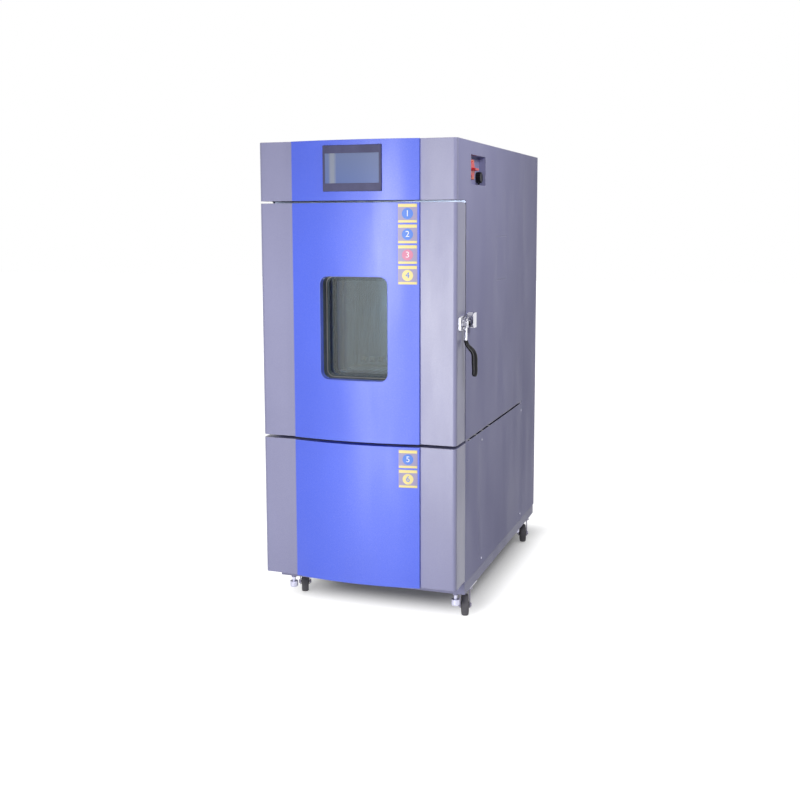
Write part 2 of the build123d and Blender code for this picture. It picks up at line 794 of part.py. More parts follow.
# Wire shelf lying on the ledges
shelf_rod = 4.0
shelf_wire = 2.0
shelf_wires = 15
shelf_side_gap = 4.0
shelf_back_gap = 15.0
shelf_front_gap = 36.0
shelf_half = chamber_half - upright_depth - shelf_side_gap - shelf_rod
shelf_front_y = chamber_front_y + shelf_front_gap + shelf_rod
shelf_rear_y = baffle_y - shelf_back_gap - shelf_rod
rod_z = shelf_level + running_gap + shelf_rod
with BuildPart() as shelf:
    for end_y in (shelf_front_y, shelf_rear_y):
        with BuildSketch(across(-shelf_half - shelf_rod)):
            with Locations((end_y, rod_z)):
                Circle(shelf_rod)
        extrude(amount=2 * (shelf_half + shelf_rod))
    for end_x in (-shelf_half, shelf_half):
        with BuildSketch(facing(shelf_front_y)):
            with Locations((end_x, rod_z)):
                Circle(shelf_rod)
        extrude(amount=-(shelf_rear_y - shelf_front_y))
    with BuildSketch(facing(shelf_front_y)):
        with Locations((0, rod_z)):
            with GridLocations(2 * shelf_half / (shelf_wires + 1), 0, shelf_wires, 1):
                Circle(shelf_wire)
    extrude(amount=-(shelf_rear_y - shelf_front_y))
shelf.part.label = "shelf"
export_step(shelf.part, "parts/shelf.step")

# Circulation blower: curved blades between a back plate and an inlet ring, on the motor's shaft
blower_radius = 88.0
blower_eye = 52.0
blower_depth = 42.0
blade_count = 12
blade_thickness = 2.0
plate_sheet = 2.0
hub_radius = 16.0
blower_front_y = baffle_y + 30.0
blower_rear_y = blower_front_y + blower_depth
motor_radius = 42.0
motor_length = 92.0
motor_plate = 4.0
motor_front_y = insulation_rear_y
shaft_engagement = 30.0
blade_arc = ThreePointArc((blower_eye, 0), (70, 13), (blower_radius - 2, 14), mode=Mode.PRIVATE)
with BuildPart() as circulation_blower:
    with BuildSketch(facing(blower_rear_y)):
        with Locations((0, fan_height)):
            Circle(blower_radius)
    extrude(amount=plate_sheet)
    with BuildSketch(facing(blower_rear_y - plate_sheet)):
        with Locations((0, fan_height)):
            with PolarLocations(0, blade_count):
                SlotArc(arc=blade_arc, height=blade_thickness)
    extrude(amount=blower_depth - 2 * plate_sheet)
    with BuildSketch(facing(blower_front_y + plate_sheet)):
        with Locations((0, fan_height)):
            Circle(blower_radius)
            Circle(blower_eye, mode=Mode.SUBTRACT)
    extrude(amount=plate_sheet)
    with BuildSketch(facing(blower_rear_y)):
        with Locations((0, fan_height)):
            Circle(hub_radius)
    extrude(amount=24)
    with BuildSketch(facing(motor_front_y + motor_plate + shaft_engagement)):
        with Locations((0, fan_height)):
            Circle(shaft_radius)
    extrude(amount=motor_front_y + motor_plate + shaft_engagement - blower_rear_y)
circulation_blower.part.label = "circulation_blower"
export_step(circulation_blower.part, "parts/circulation_blower.step")

# Blower motor on the back of the insulation
with BuildPart() as blower_motor:
    with BuildSketch(facing(motor_front_y)):
        with Locations((0, fan_height)):
            RectangleRounded(3 * motor_radius, 3 * motor_radius, 10)
    extrude(amount=-motor_plate)
    with BuildSketch(facing(motor_front_y + motor_plate)):
        with Locations((0, fan_height)):
            Circle(motor_radius)
            with PolarLocations(motor_radius, 12):
                Rectangle(8, 3)
    extrude(amount=-motor_length)
    with BuildSketch(facing(motor_front_y)):
        with Locations((0, fan_height)):
            Circle(shaft_radius + pin_clearance)
    extrude(amount=-(motor_plate + shaft_engagement + 1), mode=Mode.SUBTRACT)
blower_motor.part.label = "blower_motor"
export_step(blower_motor.part, "parts/blower_motor.step")

# Heater: sheathed rods between two end bars on the duct's side walls
heater_rod = 4.5
heater_rows = 5
heater_pitch = 18.0
heater_level = 1010.0
bar_width = 14.0
duct_middle_y = (baffle_y + liner_wall + duct_rear_y) / 2
with BuildPart() as heater:
    for sign in (-1, 1):
        with BuildSketch(across(sign * chamber_half)):
            with Locations((duct_middle_y, heater_level)):
                Rectangle(30, heater_rows * heater_pitch + 10)
        extrude(amount=-sign * bar_width)
    with BuildSketch(across(-chamber_half + bar_width)):
        with Locations((duct_middle_y, heater_level)):
            with GridLocations(0, heater_pitch, 1, heater_rows):
                Circle(heater_rod)
    extrude(amount=chamber_width - 2 * bar_width)
heater.part.label = "heater"
export_step(heater.part, "parts/heater.step")

# Evaporator: finned block between end plates, across the lower part of the duct
evaporator_bottom = 815.0
evaporator_height = 130.0
evaporator_depth = 84.0
fin_count = 26
fin_thickness = 1.0
end_plate = 2.0
core_depth = 40.0
with BuildPart() as evaporator:
    with BuildSketch(across(-chamber_half)):
        with Locations((duct_middle_y, evaporator_bottom + evaporator_height / 2)):
            Rectangle(core_depth, evaporator_height - 30)
    extrude(amount=chamber_width)
    with BuildSketch(facing(duct_middle_y - evaporator_depth / 2)):
        with Locations((0, evaporator_bottom + evaporator_height / 2)):
            with GridLocations((chamber_width - 30) / (fin_count - 1), 0, fin_count, 1):
                Rectangle(fin_thickness, evaporator_height)
        for sign in (-1, 1):
            with Locations((sign * (chamber_half - end_plate / 2), evaporator_bottom + evaporator_height / 2)):
                Rectangle(end_plate, evaporator_height)
    extrude(amount=-evaporator_depth)
evaporator.part.label = "evaporator"
export_step(evaporator.part, "parts/evaporator.step")

# Humidifier pan on the duct floor, with its immersion element
pan_height = 30.0
pan_wall = 1.5
element_radius = 4.0
with BuildPart() as humidifier_pan:
    with BuildSketch(level(chamber_floor)):
        with Locations((0, duct_middle_y)):
            RectangleRounded(300, 90, 12)
    extrude(amount=pan_height)
    offset(amount=-pan_wall, openings=humidifier_pan.faces().sort_by(Axis.Z)[-1])
    with BuildSketch(across(-150 + pan_wall / 2)):
        with Locations((duct_middle_y, chamber_floor + 14)):
            Circle(element_radius)
    extrude(amount=300 - pan_wall)
humidifier_pan.part.label = "humidifier_pan"
export_step(humidifier_pan.part, "parts/humidifier_pan.step")

# Compressor: welded shell with a rolled seam, standing on a foot plate on the floor pan
compressor_radius = 85.0
compressor_height = 220.0
compressor_x = -100.0
compressor_depth = 420.0
seam_height = 12.0
seam_proud = 5.0
foot_plate = 8.0
pan_top = frame_top + pan_thickness
compressor_place = (compressor_x, front_y + compressor_depth)
with BuildPart() as compressor:
    with BuildSketch(level(pan_top)):
        with Locations(compressor_place):
            RectangleRounded(2 * compressor_radius + 40, 2 * compressor_radius, 20)
    extrude(amount=foot_plate)
    with BuildSketch(level(pan_top + foot_plate)):
        with Locations(compressor_place):
            Circle(compressor_radius)
    extrude(amount=compressor_height)
    fillet(compressor.faces().sort_by(Axis.Z)[-1].edges(), radius=40)
    with BuildSketch(level(pan_top + foot_plate + compressor_height * 0.55)):
        with Locations(compressor_place):
            Circle(compressor_radius + seam_proud)
    extrude(amount=seam_height)
compressor.part.label = "compressor"
export_step(compressor.part, "parts/compressor.step")

# Condenser: finned core, sheet shroud behind it and the fan motor on a four-arm spider
condenser_width = 350.0
condenser_height = 300.0
condenser_core = 50.0
condenser_fins = 30
condenser_fin_proud = 5.0
condenser_front = 800.0
shroud_depth = 52.0
shroud_wall = 2.0
shroud_opening = 128.0
fan_motor_radius = 34.0
fan_motor_length = 28.0
spider_arm = 12.0
spider_depth = 6.0
condenser_front_y = front_y + condenser_front
core_rear_y = condenser_front_y + condenser_core + 2 * condenser_fin_proud
shroud_rear_y = core_rear_y + shroud_depth
condenser_middle = pan_top + condenser_height / 2
with BuildPart() as condenser:
    with BuildSketch(facing(condenser_front_y + condenser_fin_proud)):
        with Locations((0, condenser_middle)):
            Rectangle(condenser_width, condenser_height)
    extrude(amount=-condenser_core)
    with BuildSketch(facing(condenser_front_y)):
        with Locations((0, condenser_middle)):
            with GridLocations((condenser_width - 10) / (condenser_fins - 1), 0, condenser_fins, 1):
                Rectangle(1, condenser_height)
    extrude(amount=-(condenser_core + 2 * condenser_fin_proud))
    # Shroud
    with BuildSketch(facing(core_rear_y - condenser_fin_proud)):
        with Locations((0, condenser_middle)):
            Rectangle(condenser_width, condenser_height)
            Rectangle(condenser_width - 2 * shroud_wall, condenser_height - 2 * shroud_wall, mode=Mode.SUBTRACT)
    extrude(amount=-(shroud_depth + condenser_fin_proud))
    with BuildSketch(facing(shroud_rear_y)):
        with Locations((0, condenser_middle)):
            Rectangle(condenser_width, condenser_height)
            Circle(shroud_opening, mode=Mode.SUBTRACT)
    extrude(amount=shroud_wall)
    # Motor and the arms that carry it inside the shroud
    with BuildSketch(facing(core_rear_y)):
        with Locations((0, condenser_middle)):
            Circle(fan_motor_radius)
    extrude(amount=-fan_motor_length)
    with BuildSketch(facing(core_rear_y)):
        with Locations((0, condenser_middle)):
            Rectangle(condenser_width - shroud_wall, spider_arm)
            Rectangle(spider_arm, condenser_height - shroud_wall)
    extrude(amount=-spider_depth)
    with BuildSketch(facing(core_rear_y + fan_motor_length)):
        with Locations((0, condenser_middle)):
            Circle(axle_radius + pin_clearance)
    extrude(amount=fan_motor_length - spider_depth, mode=Mode.SUBTRACT)
condenser.part.label = "condenser"
export_step(condenser.part, "parts/condenser.step")

# Condenser fan: five pitched blades on a hub, with a stub shaft in the motor
fan_radius = 120.0
fan_hub_radius = 36.0
fan_hub_depth = 16.0
fan_blades = 5
blade_width = 62.0
blade_pitch = 28.0
fan_gap = 1.0
fan_front_y = core_rear_y + fan_motor_length + fan_gap
fan_middle_y = fan_front_y + fan_hub_depth / 2
with BuildPart() as condenser_fan:
    for blade in range(fan_blades):
        spoke = 360 / fan_blades * blade
        reach = Vector(cos(radians(spoke)), 0, sin(radians(spoke)))
        chord = Vector(0, 1, 0).rotate(Axis((0, 0, 0), reach), 90 - blade_pitch)
        root = Vector(0, fan_middle_y, condenser_middle) + reach * (fan_hub_radius - 6)
        with BuildSketch(Plane(origin=root, x_dir=chord, z_dir=reach)):
            Rectangle(blade_width / 2, 2)
        with BuildSketch(Plane(origin=root + reach * (fan_radius - fan_hub_radius), x_dir=chord, z_dir=reach)):
            Rectangle(blade_width, 2)
        loft()
    with BuildSketch(facing(fan_front_y)):
        with Locations((0, condenser_middle)):
            Circle(fan_hub_radius)
    extrude(amount=-fan_hub_depth)
    with BuildSketch(facing(fan_front_y)):
        with Locations((0, condenser_middle)):
            Circle(axle_radius)
    extrude(amount=fan_motor_length - spider_depth - fan_gap)
condenser_fan.part.label = "condenser_fan"
export_step(condenser_fan.part, "parts/condenser_fan.step")

# Main switch in the recess: square escutcheon and a round red knob with a grip bar
switch_size = 65.0
switch_depth = 227.0
switch_level = 1512.0
escutcheon_thickness = 11.0
knob_radius = 32.0
knob_thickness = 8.0
grip_bar_width = 10.0
grip_bar_height = 10.0
switch_shaft_radius = 5.0
switch_shaft_depth = 8.0
recess_floor_x = half_width - recess_depth
switch_place = (front_y + switch_depth, switch_level)
with BuildPart() as switch_plate:
    with BuildSketch(across(recess_floor_x)):
        with Locations(switch_place):
            RectangleRounded(switch_size, switch_size, 4)
    extrude(amount=escutcheon_thickness - running_gap)
    chamfer(switch_plate.faces().sort_by(Axis.X)[-1].edges(), length=2)
    with BuildSketch(across(recess_floor_x + escutcheon_thickness)):
        with Locations(switch_place):
            Circle(switch_shaft_radius + pin_clearance)
    extrude(amount=-switch_shaft_depth - running_gap, mode=Mode.SUBTRACT)
switch_plate.part.label = "switch_plate"
export_step(switch_plate.part, "parts/switch_plate.step")

with BuildPart() as switch_knob:
    with BuildSketch(across(recess_floor_x + escutcheon_thickness)):
        with Locations(switch_place):
            Circle(knob_radius)
    extrude(amount=knob_thickness)
    fillet(switch_knob.faces().sort_by(Axis.X)[-1].edges(), radius=2)
    # Dished face that leaves a rim and the bar across it
    with BuildSketch(across(recess_floor_x + escutcheon_thickness + knob_thickness)):
        with Locations(switch_place):
            Circle(knob_radius - 5)
    extrude(amount=-knob_thickness / 2, mode=Mode.SUBTRACT)
    with BuildSketch(across(recess_floor_x + escutcheon_thickness + knob_thickness / 2)):
        with Locations(switch_place):
            SlotOverall(2 * knob_radius - 4, grip_bar_width)
    extrude(amount=knob_thickness / 2 + grip_bar_height)
    chamfer(switch_knob.faces().sort_by(Axis.X)[-1].edges(), length=2)
    with BuildSketch(across(recess_floor_x + escutcheon_thickness)):
        with Locations(switch_place):
            Circle(switch_shaft_radius)
    extrude(amount=-switch_shaft_depth + running_gap)
switch_knob.part.label = "switch_knob"
export_step(switch_knob.part, "parts/switch_knob.step")

# Data socket behind the switch, closed by a black bayonet cap with a finger loop
socket_depth = 329.0
socket_level = 1489.0
socket_radius = 14.0
socket_height = 12.0
cap_radius = 18.5
cap_height = 17.0
cap_wall = 3.0
cap_ribs = 12
loop_radius = 7.0
loop_hole = 3.5
loop_offset = (-11.0, -18.0)
socket_place = (front_y + socket_depth, socket_level)
loop_place = (socket_place[0] + loop_offset[0], socket_place[1] + loop_offset[1])
with BuildPart() as data_socket:
    with BuildSketch(across(recess_floor_x)):
        with Locations(socket_place):
            Circle(socket_radius)
            Circle(socket_radius - 3, mode=Mode.SUBTRACT)
    extrude(amount=socket_height)
    with BuildSketch(across(recess_floor_x)):
        with Locations(socket_place):
            Circle(socket_radius - 2)
    extrude(amount=4)
data_socket.part.label = "data_socket"
export_step(data_socket.part, "parts/data_socket.step")

with BuildPart() as socket_cap:
    with BuildSketch(across(recess_floor_x + running_gap)):
        with Locations(socket_place):
            Circle(cap_radius - 1.5)
            with PolarLocations(cap_radius - 3, cap_ribs):
                Circle(3)
    extrude(amount=cap_height)
    chamfer(socket_cap.faces().sort_by(Axis.X)[-1].edges(), length=1)
    with BuildSketch(across(recess_floor_x)):
        with Locations(socket_place):
            Circle(socket_radius + pin_clearance)
    extrude(amount=cap_height - cap_wall, mode=Mode.SUBTRACT)
    with BuildSketch(across(recess_floor_x + cap_height / 2)):
        with Locations(loop_place):
            Circle(loop_radius)
            Circle(loop_hole, mode=Mode.SUBTRACT)
    extrude(amount=4)
socket_cap.part.label = "socket_cap"
export_step(socket_cap.part, "parts/socket_cap.step")

# Test port through the left wall: lined sleeve with an outer flange, and its soft plug with a pull
port_flange = 38.0
port_flange_proud = 3.0
plug_clearance = 0.3
plug_head_radius = 32.0
plug_head_height = 12.0
with BuildPart() as test_port_sleeve:
    with BuildSketch(across(-chamber_half)):
        with Locations((port_y, port_height)):
            Circle(port_radius + port_wall)
    extrude(amount=-(half_width - chamber_half))
    with BuildSketch(across(-half_width)):
        with Locations((port_y, port_height)):
            Circle(port_flange)
    extrude(amount=-port_flange_proud)
    with BuildSketch(across(-chamber_half)):
        with Locations((port_y, port_height)):
            Circle(port_radius)
    extrude(amount=-(half_width - chamber_half + port_flange_proud), mode=Mode.SUBTRACT)
test_port_sleeve.part.label = "test_port_sleeve"
export_step(test_port_sleeve.part, "parts/test_port_sleeve.step")

port_face_x = -half_width - port_flange_proud
with BuildPart() as test_port_plug:
    with BuildSketch(across(port_face_x)):
        with Locations((port_y, port_height)):
            Circle(plug_head_radius)
    extrude(amount=-plug_head_height)
    fillet(test_port_plug.faces().sort_by(Axis.X)[0].edges(), radius=4)
    with BuildSketch(across(port_face_x)):
        with Locations((port_y, port_height)):
            Circle(port_radius - plug_clearance)
    extrude(amount=-chamber_half - port_face_x)
test_port_plug.part.label = "test_port_plug"
export_step(test_port_plug.part, "parts/test_port_plug.step")

# Door: foamed shell, bowed front panel, stainless inner panel, gasket, window tunnel and panes
door_rear_round = 14.0
mouth_gap = 6.0
plug_depth = 22.0
plug_round = 12.0
inner_flange = 38.0
gasket_width = 22.0
gasket_base = 3.0
gasket_bulb = 12.0
gasket_play = 0.3
pane_places = (28.0, 58.0, 92.0)
pane_ledge = 6.0
window_clear = 0.3
plug_half = chamber_half - mouth_gap
plug_tall = chamber_height - 2 * mouth_gap
flange_half = plug_half + inner_flange
flange_tall = plug_tall + 2 * inner_flange
plug_rear_y = door_rear_y + plug_depth
window_outer_width = window_width + 2 * window_clear
window_outer_height = window_height + 2 * window_clear
window_outer_radius = window_radius + window_clear

with BuildPart() as door_shell:
    with BuildSketch(level(door_bottom)):
        with Locations((0, (front_y + door_rear_y) / 2)):
            Rectangle(width, door_depth)
    extrude(amount=door_height)
    door_corners = door_shell.edges().filter_by(Axis.Z).group_by(Axis.Y)[0]
    fillet(door_corners, radius=corner_radius)
    top_rear_edge = door_shell.edges().filter_by(Axis.X).group_by(Axis.Y)[-1].sort_by(Axis.Z)[-1]
    fillet(top_rear_edge, radius=door_rear_round)
    # Foam core that fills the plug of the inner panel
    with BuildSketch(facing(door_rear_y)):
        with Locations((0, liner_middle)):
            RectangleRounded(2 * (plug_half - liner_wall), plug_tall - 2 * liner_wall, plug_round - liner_wall)
    extrude(amount=-(plug_depth - liner_wall))
    with BuildSketch(facing(front_y)):
        with Locations((0, window_middle)):
            RectangleRounded(window_outer_width, window_outer_height, window_outer_radius)
    extrude(amount=-(door_depth + plug_depth), mode=Mode.SUBTRACT)
door_shell.part.label = "door_shell"
export_step(door_shell.part, "parts/door_shell.step")

door_tray = bowed_tray(door_bottom, door_top)
with BuildPart() as door_front_panel:
    add(door_tray)
    with BuildSketch(facing(front_y)):
        with Locations((0, window_middle)):
            RectangleRounded(window_outer_width, window_outer_height, window_outer_radius)
    extrude(amount=bow_total + 1, mode=Mode.SUBTRACT)
door_front_panel.part.label = "door_front_panel"
export_step(door_front_panel.part, "parts/door_front_panel.step")

with BuildPart() as door_inner_panel:
    with BuildSketch(facing(door_rear_y)):
        with Locations((0, liner_middle)):
            RectangleRounded(2 * flange_half, flange_tall, plug_round)
    extrude(amount=-liner_wall)
    with BuildSketch(facing(door_rear_y)):
        with Locations((0, liner_middle)):
            RectangleRounded(2 * plug_half, plug_tall, plug_round)
    extrude(amount=-plug_depth)
    with BuildSketch(facing(door_rear_y)):
        with Locations((0, liner_middle)):
            RectangleRounded(2 * (plug_half - liner_wall), plug_tall - 2 * liner_wall, plug_round - liner_wall)
    extrude(amount=-(plug_depth - liner_wall), mode=Mode.SUBTRACT)
    with BuildSketch(facing(door_rear_y)):
        with Locations((0, window_middle)):
            RectangleRounded(window_outer_width, window_outer_height, window_outer_radius)
    extrude(amount=-plug_depth, mode=Mode.SUBTRACT)
door_inner_panel.part.label = "door_inner_panel"
export_step(door_inner_panel.part, "parts/door_inner_panel.step")

gasket_half = flange_half + gasket_width
gasket_tall = flange_tall + 2 * gasket_width
bulb_edge = (gasket_width - gasket_bulb) / 2
with BuildPart() as door_gasket:
    with BuildSketch(facing(door_rear_y)):
        with Locations((0, liner_middle)):
            RectangleRounded(2 * gasket_half, gasket_tall, plug_round + gasket_width)
            RectangleRounded(2 * flange_half, flange_tall, plug_round, mode=Mode.SUBTRACT)
    extrude(amount=-gasket_base)
    with BuildSketch(facing(door_rear_y + gasket_base)):
        with Locations((0, liner_middle)):
            RectangleRounded(
                2 * (gasket_half - bulb_edge),
                gasket_tall - 2 * bulb_edge,
                plug_round + gasket_width - bulb_edge,
            )
            RectangleRounded(
                2 * (flange_half + bulb_edge),
                flange_tall + 2 * bulb_edge,
                plug_round + bulb_edge,
                mode=Mode.SUBTRACT,
            )
    extrude(amount=-(gasket_gap - gasket_base - gasket_play))
    fillet(door_gasket.faces().sort_by(Axis.Y)[-1].edges(), radius=2)
door_gasket.part.label = "door_gasket"
export_step(door_gasket.part, "parts/door_gasket.step")

# Window tunnel: one sleeve through the whole door with a ledge behind each pane
tunnel_width = window_width - 2 * window_wall
tunnel_height = window_height - 2 * window_wall
tunnel_radius = window_radius - window_wall
with BuildPart() as window_frame:
    with BuildSketch(facing(front_y)):
        with Locations((0, window_middle)):
            RectangleRounded(window_width, window_height, window_radius)
            RectangleRounded(tunnel_width, tunnel_height, tunnel_radius, mode=Mode.SUBTRACT)
    extrude(amount=-(door_depth + plug_depth))
    for pane_depth in pane_places:
        with BuildSketch(facing(front_y + pane_depth + pane_thickness)):
            with Locations((0, window_middle)):
                RectangleRounded(tunnel_width, tunnel_height, tunnel_radius)
                RectangleRounded(
                    tunnel_width - 2 * pane_ledge,
                    tunnel_height - 2 * pane_ledge,
                    tunnel_radius - pane_ledge,
                    mode=Mode.SUBTRACT,
                )
        extrude(amount=-pane_ledge)
window_frame.part.label = "window_frame"
export_step(window_frame.part, "parts/window_frame.step")

with BuildPart() as window_panes:
    for pane_depth in pane_places:
        with BuildSketch(facing(front_y + pane_depth)):
            with Locations((0, window_middle)):
                RectangleRounded(
                    tunnel_width - 2 * pane_clearance,
                    tunnel_height - 2 * pane_clearance,
                    tunnel_radius - pane_clearance,
                )
        extrude(amount=-pane_thickness)
window_panes.part.label = "window_panes"
export_step(window_panes.part, "parts/window_panes.step")

# Hinges on the left: body leaves with two knuckles and the pin, door leaves with the middle knuckle
hinge_levels = (720.0, 1318.0)
hinge_pin_radius = 5.0
hinge_knuckle_radius = 11.0
hinge_offset = 23.0
hinge_depth = 104.0
hinge_height = 90.0
knuckle_height = 30.0
leaf_thickness = 3.0
leaf_reach = 50.0
body_leaf_start = 116.0
hinge_x = -half_width - hinge_offset
hinge_y = front_y + hinge_depth
leaf_x = -half_width - leaf_thickness
with BuildPart() as hinge_body_leaves:
    for middle in hinge_levels:
        lowest = middle - hinge_height / 2
        with BuildSketch(level(lowest)):
            with BuildLine():
                Polyline(
                    (-half_width, front_y + body_leaf_start),
                    (-half_width, front_y + body_leaf_start + leaf_reach),
                    (leaf_x, front_y + body_leaf_start + leaf_reach),
                    (leaf_x, front_y + body_leaf_start + 6),
                    (hinge_x, hinge_y + hinge_knuckle_radius),
                    (hinge_x, hinge_y + 3),
                    (hinge_x + 8, hinge_y + 3),
                    close=True,
                )
            make_face()
        extrude(amount=hinge_height)
        with BuildSketch(level(lowest)):
            with Locations((hinge_x, hinge_y)):
                Circle(hinge_knuckle_radius)
        extrude(amount=hinge_height)
        # Gap for the door knuckle, with the pin left running through it
        with BuildSketch(level(middle - knuckle_height / 2)):
            with Locations((hinge_x, hinge_y)):
                Circle(hinge_knuckle_radius + 1)
        extrude(amount=knuckle_height, mode=Mode.SUBTRACT)
        with BuildSketch(level(lowest)):
            with Locations((hinge_x, hinge_y)):
                Circle(hinge_pin_radius)
        extrude(amount=hinge_height)
hinge_body_leaves.part.label = "hinge_body_leaves"
export_step(hinge_body_leaves.part, "parts/hinge_body_leaves.step")

door_leaf_end = 92.0
with BuildPart() as hinge_door_leaves:
    for middle in hinge_levels:
        lowest = middle - knuckle_height / 2 + running_gap
        with BuildSketch(level(middle - hinge_height / 2)):
            with Locations((leaf_x + leaf_thickness / 2, front_y + door_leaf_end - leaf_reach / 2)):
                Rectangle(leaf_thickness, leaf_reach)
        extrude(amount=hinge_height)
        with BuildSketch(level(lowest)):
            with Locations((hinge_x, hinge_y)):
                Circle(hinge_knuckle_radius)
            with BuildLine():
                Polyline(
                    (leaf_x, front_y + door_leaf_end),
                    (leaf_x, front_y + door_leaf_end - leaf_reach / 2),
                    (hinge_x - hinge_knuckle_radius + 2, hinge_y - 5),
                    (hinge_x + 4, hinge_y),
                    close=True,
                )
            make_face()
        extrude(amount=knuckle_height - 2 * running_gap)
        with BuildSketch(level(lowest)):
            with Locations((hinge_x, hinge_y)):
                Circle(hinge_pin_radius + pin_clearance)
        extrude(amount=knuckle_height, mode=Mode.SUBTRACT)
hinge_door_leaves.part.label = "hinge_door_leaves"
export_step(hinge_door_leaves.part, "parts/hinge_door_leaves.step")

# Latch on the right: base on the door's edge, hooked lever with a moulded grip, roller keeper on the body
latch_pivot_depth = 68.0
latch_pivot_level = 1022.0
latch_base_start = 20.0
latch_base_end = 86.0
latch_base_height = 46.0
latch_base_thickness = 4.0
latch_rim = 3.0
latch_rim_height = 2.0
latch_pin_radius = 5.0
latch_pin_head = 9.0
lever_thickness = 8.0
lever_hub_radius = 14.0
lever_gap = 1.0
hook_reach = 74.0
hook_nose_start = 68.0
hook_drop = 12.5
hook_bottom = 22.0
nose_top = 0.5
shank_width = 11.0
shank_end = 966.0
roller_radius = 7.0
roller_depth = 128.0
roller_level = 1030.0
roller_pin_radius = 3.0
keeper_start = 112.0
keeper_end = 151.0
keeper_bottom = 1001.0
keeper_top = 1050.0
keeper_wall = 3.0
keeper_inner = 18.0

pivot_y = front_y + latch_pivot_depth
base_face_x = half_width + latch_base_thickness
lever_x = base_face_x + latch_rim_height + lever_gap
lever_out_x = lever_x + lever_thickness
latch_base_y = front_y + (latch_base_start + latch_base_end) / 2
with BuildPart() as latch_base:
    with BuildSketch(across(half_width)):
        with Locations((latch_base_y, latch_pivot_level)):
            RectangleRounded(latch_base_end - latch_base_start, latch_base_height, 6)
    extrude(amount=latch_base_thickness)
    with BuildSketch(across(base_face_x)):
        with Locations((latch_base_y, latch_pivot_level)):
            RectangleRounded(latch_base_end - latch_base_start, latch_base_height, 6)
            RectangleRounded(
                latch_base_end - latch_base_start - 2 * latch_rim,
                latch_base_height - 2 * latch_rim,
                4,
                mode=Mode.SUBTRACT,
            )
        with Locations((pivot_y, latch_pivot_level)):
            Circle(lever_hub_radius)
    extrude(amount=latch_rim_height)
    with BuildSketch(across(base_face_x)):
        with Locations((pivot_y, latch_pivot_level)):
            Circle(latch_pin_radius)
    extrude(amount=lever_out_x + running_gap - base_face_x)
    with BuildSketch(across(lever_out_x + running_gap)):
        with Locations((pivot_y, latch_pivot_level)):
            Circle(latch_pin_head)
    extrude(amount=3)
    fillet(latch_base.faces().sort_by(Axis.X)[-1].edges(), radius=1.5)
latch_base.part.label = "latch_base"
export_step(latch_base.part, "parts/latch_base.step")

with BuildPart() as latch_lever:
    with BuildSketch(across(lever_x)):
        with Locations((pivot_y, latch_pivot_level)):
            Circle(lever_hub_radius)
        # Hook that runs under the roller and turns up behind it
        with BuildLine():
            Polyline(
                (pivot_y, latch_pivot_level - hook_bottom + 8),
                (pivot_y + hook_nose_start, latch_pivot_level - hook_bottom),
                (pivot_y + hook_reach, latch_pivot_level - hook_bottom + 5),
                (pivot_y + hook_reach, latch_pivot_level + nose_top - 2),
                (pivot_y + hook_reach - 2, latch_pivot_level + nose_top),
                (pivot_y + hook_nose_start, latch_pivot_level + nose_top),
                (pivot_y + hook_nose_start, latch_pivot_level - hook_drop),
                (pivot_y + lever_hub_radius, latch_pivot_level - hook_drop + 4),
                (pivot_y, latch_pivot_level),
                close=True,
            )
        make_face()
        with Locations((pivot_y, (latch_pivot_level + shank_end) / 2)):
            Rectangle(shank_width, latch_pivot_level - shank_end)
    extrude(amount=lever_thickness)
    with BuildSketch(across(lever_x)):
        with Locations((pivot_y, latch_pivot_level)):
            Circle(latch_pin_radius + pin_clearance)
    extrude(amount=lever_thickness, mode=Mode.SUBTRACT)
latch_lever.part.label = "latch_lever"
export_step(latch_lever.part, "parts/latch_lever.step")

# Grip: S-shaped moulding lofted through round sections: distance out, level, radius and tilt
grip_x = lever_x + lever_thickness / 2
grip_sections = (
    (0.0, shank_end, 6.5, 0.0),
    (3.0, 956.0, 6.8, 28.0),
    (12.5, 943.0, 7.6, 44.0),
    (23.5, 931.0, 8.6, 36.0),
    (29.0, 915.0, 9.3, 8.0),
    (29.7, 890.0, 9.5, 0.0),
    (29.7, 858.0, 8.6, 0.0),
    (29.7, 851.0, 5.5, 0.0),
)
with BuildPart() as latch_grip:
    for out, section_z, section_radius, tilt in grip_sections:
        lean = radians(tilt)
        with BuildSketch(
            Plane(origin=(grip_x + out, pivot_y, section_z), x_dir=(0, 1, 0), z_dir=(sin(lean), 0, -cos(lean)))
        ):
            Circle(section_radius)
    loft()
latch_grip.part.label = "latch_grip"
export_step(latch_grip.part, "parts/latch_grip.step")

keeper_base_x = half_width + keeper_wall
keeper_out_x = keeper_base_x + keeper_inner
keeper_middle_y = front_y + (keeper_start + keeper_end) / 2
keeper_tall = keeper_top - keeper_bottom
roller_place = (front_y + roller_depth, roller_level)
with BuildPart() as keeper_bracket:
    for plate_x in (half_width, keeper_out_x):
        with BuildSketch(across(plate_x)):
            with Locations((keeper_middle_y, (keeper_bottom + keeper_top) / 2)):
                Rectangle(keeper_end - keeper_start, keeper_tall)
        extrude(amount=keeper_wall)
    with BuildSketch(across(half_width)):
        with Locations((front_y + keeper_end - keeper_wall / 2, (keeper_bottom + keeper_top) / 2)):
            Rectangle(keeper_wall, keeper_tall)
    extrude(amount=2 * keeper_wall + keeper_inner)
    with BuildSketch(across(half_width)):
        with Locations(roller_place):
            Circle(roller_pin_radius)
    extrude(amount=2 * keeper_wall + keeper_inner)
    outer_corners = keeper_bracket.edges().filter_by(Axis.X).group_by(Axis.Y)[0]
    fillet(outer_corners, radius=8)
keeper_bracket.part.label = "keeper_bracket"
export_step(keeper_bracket.part, "parts/keeper_bracket.step")

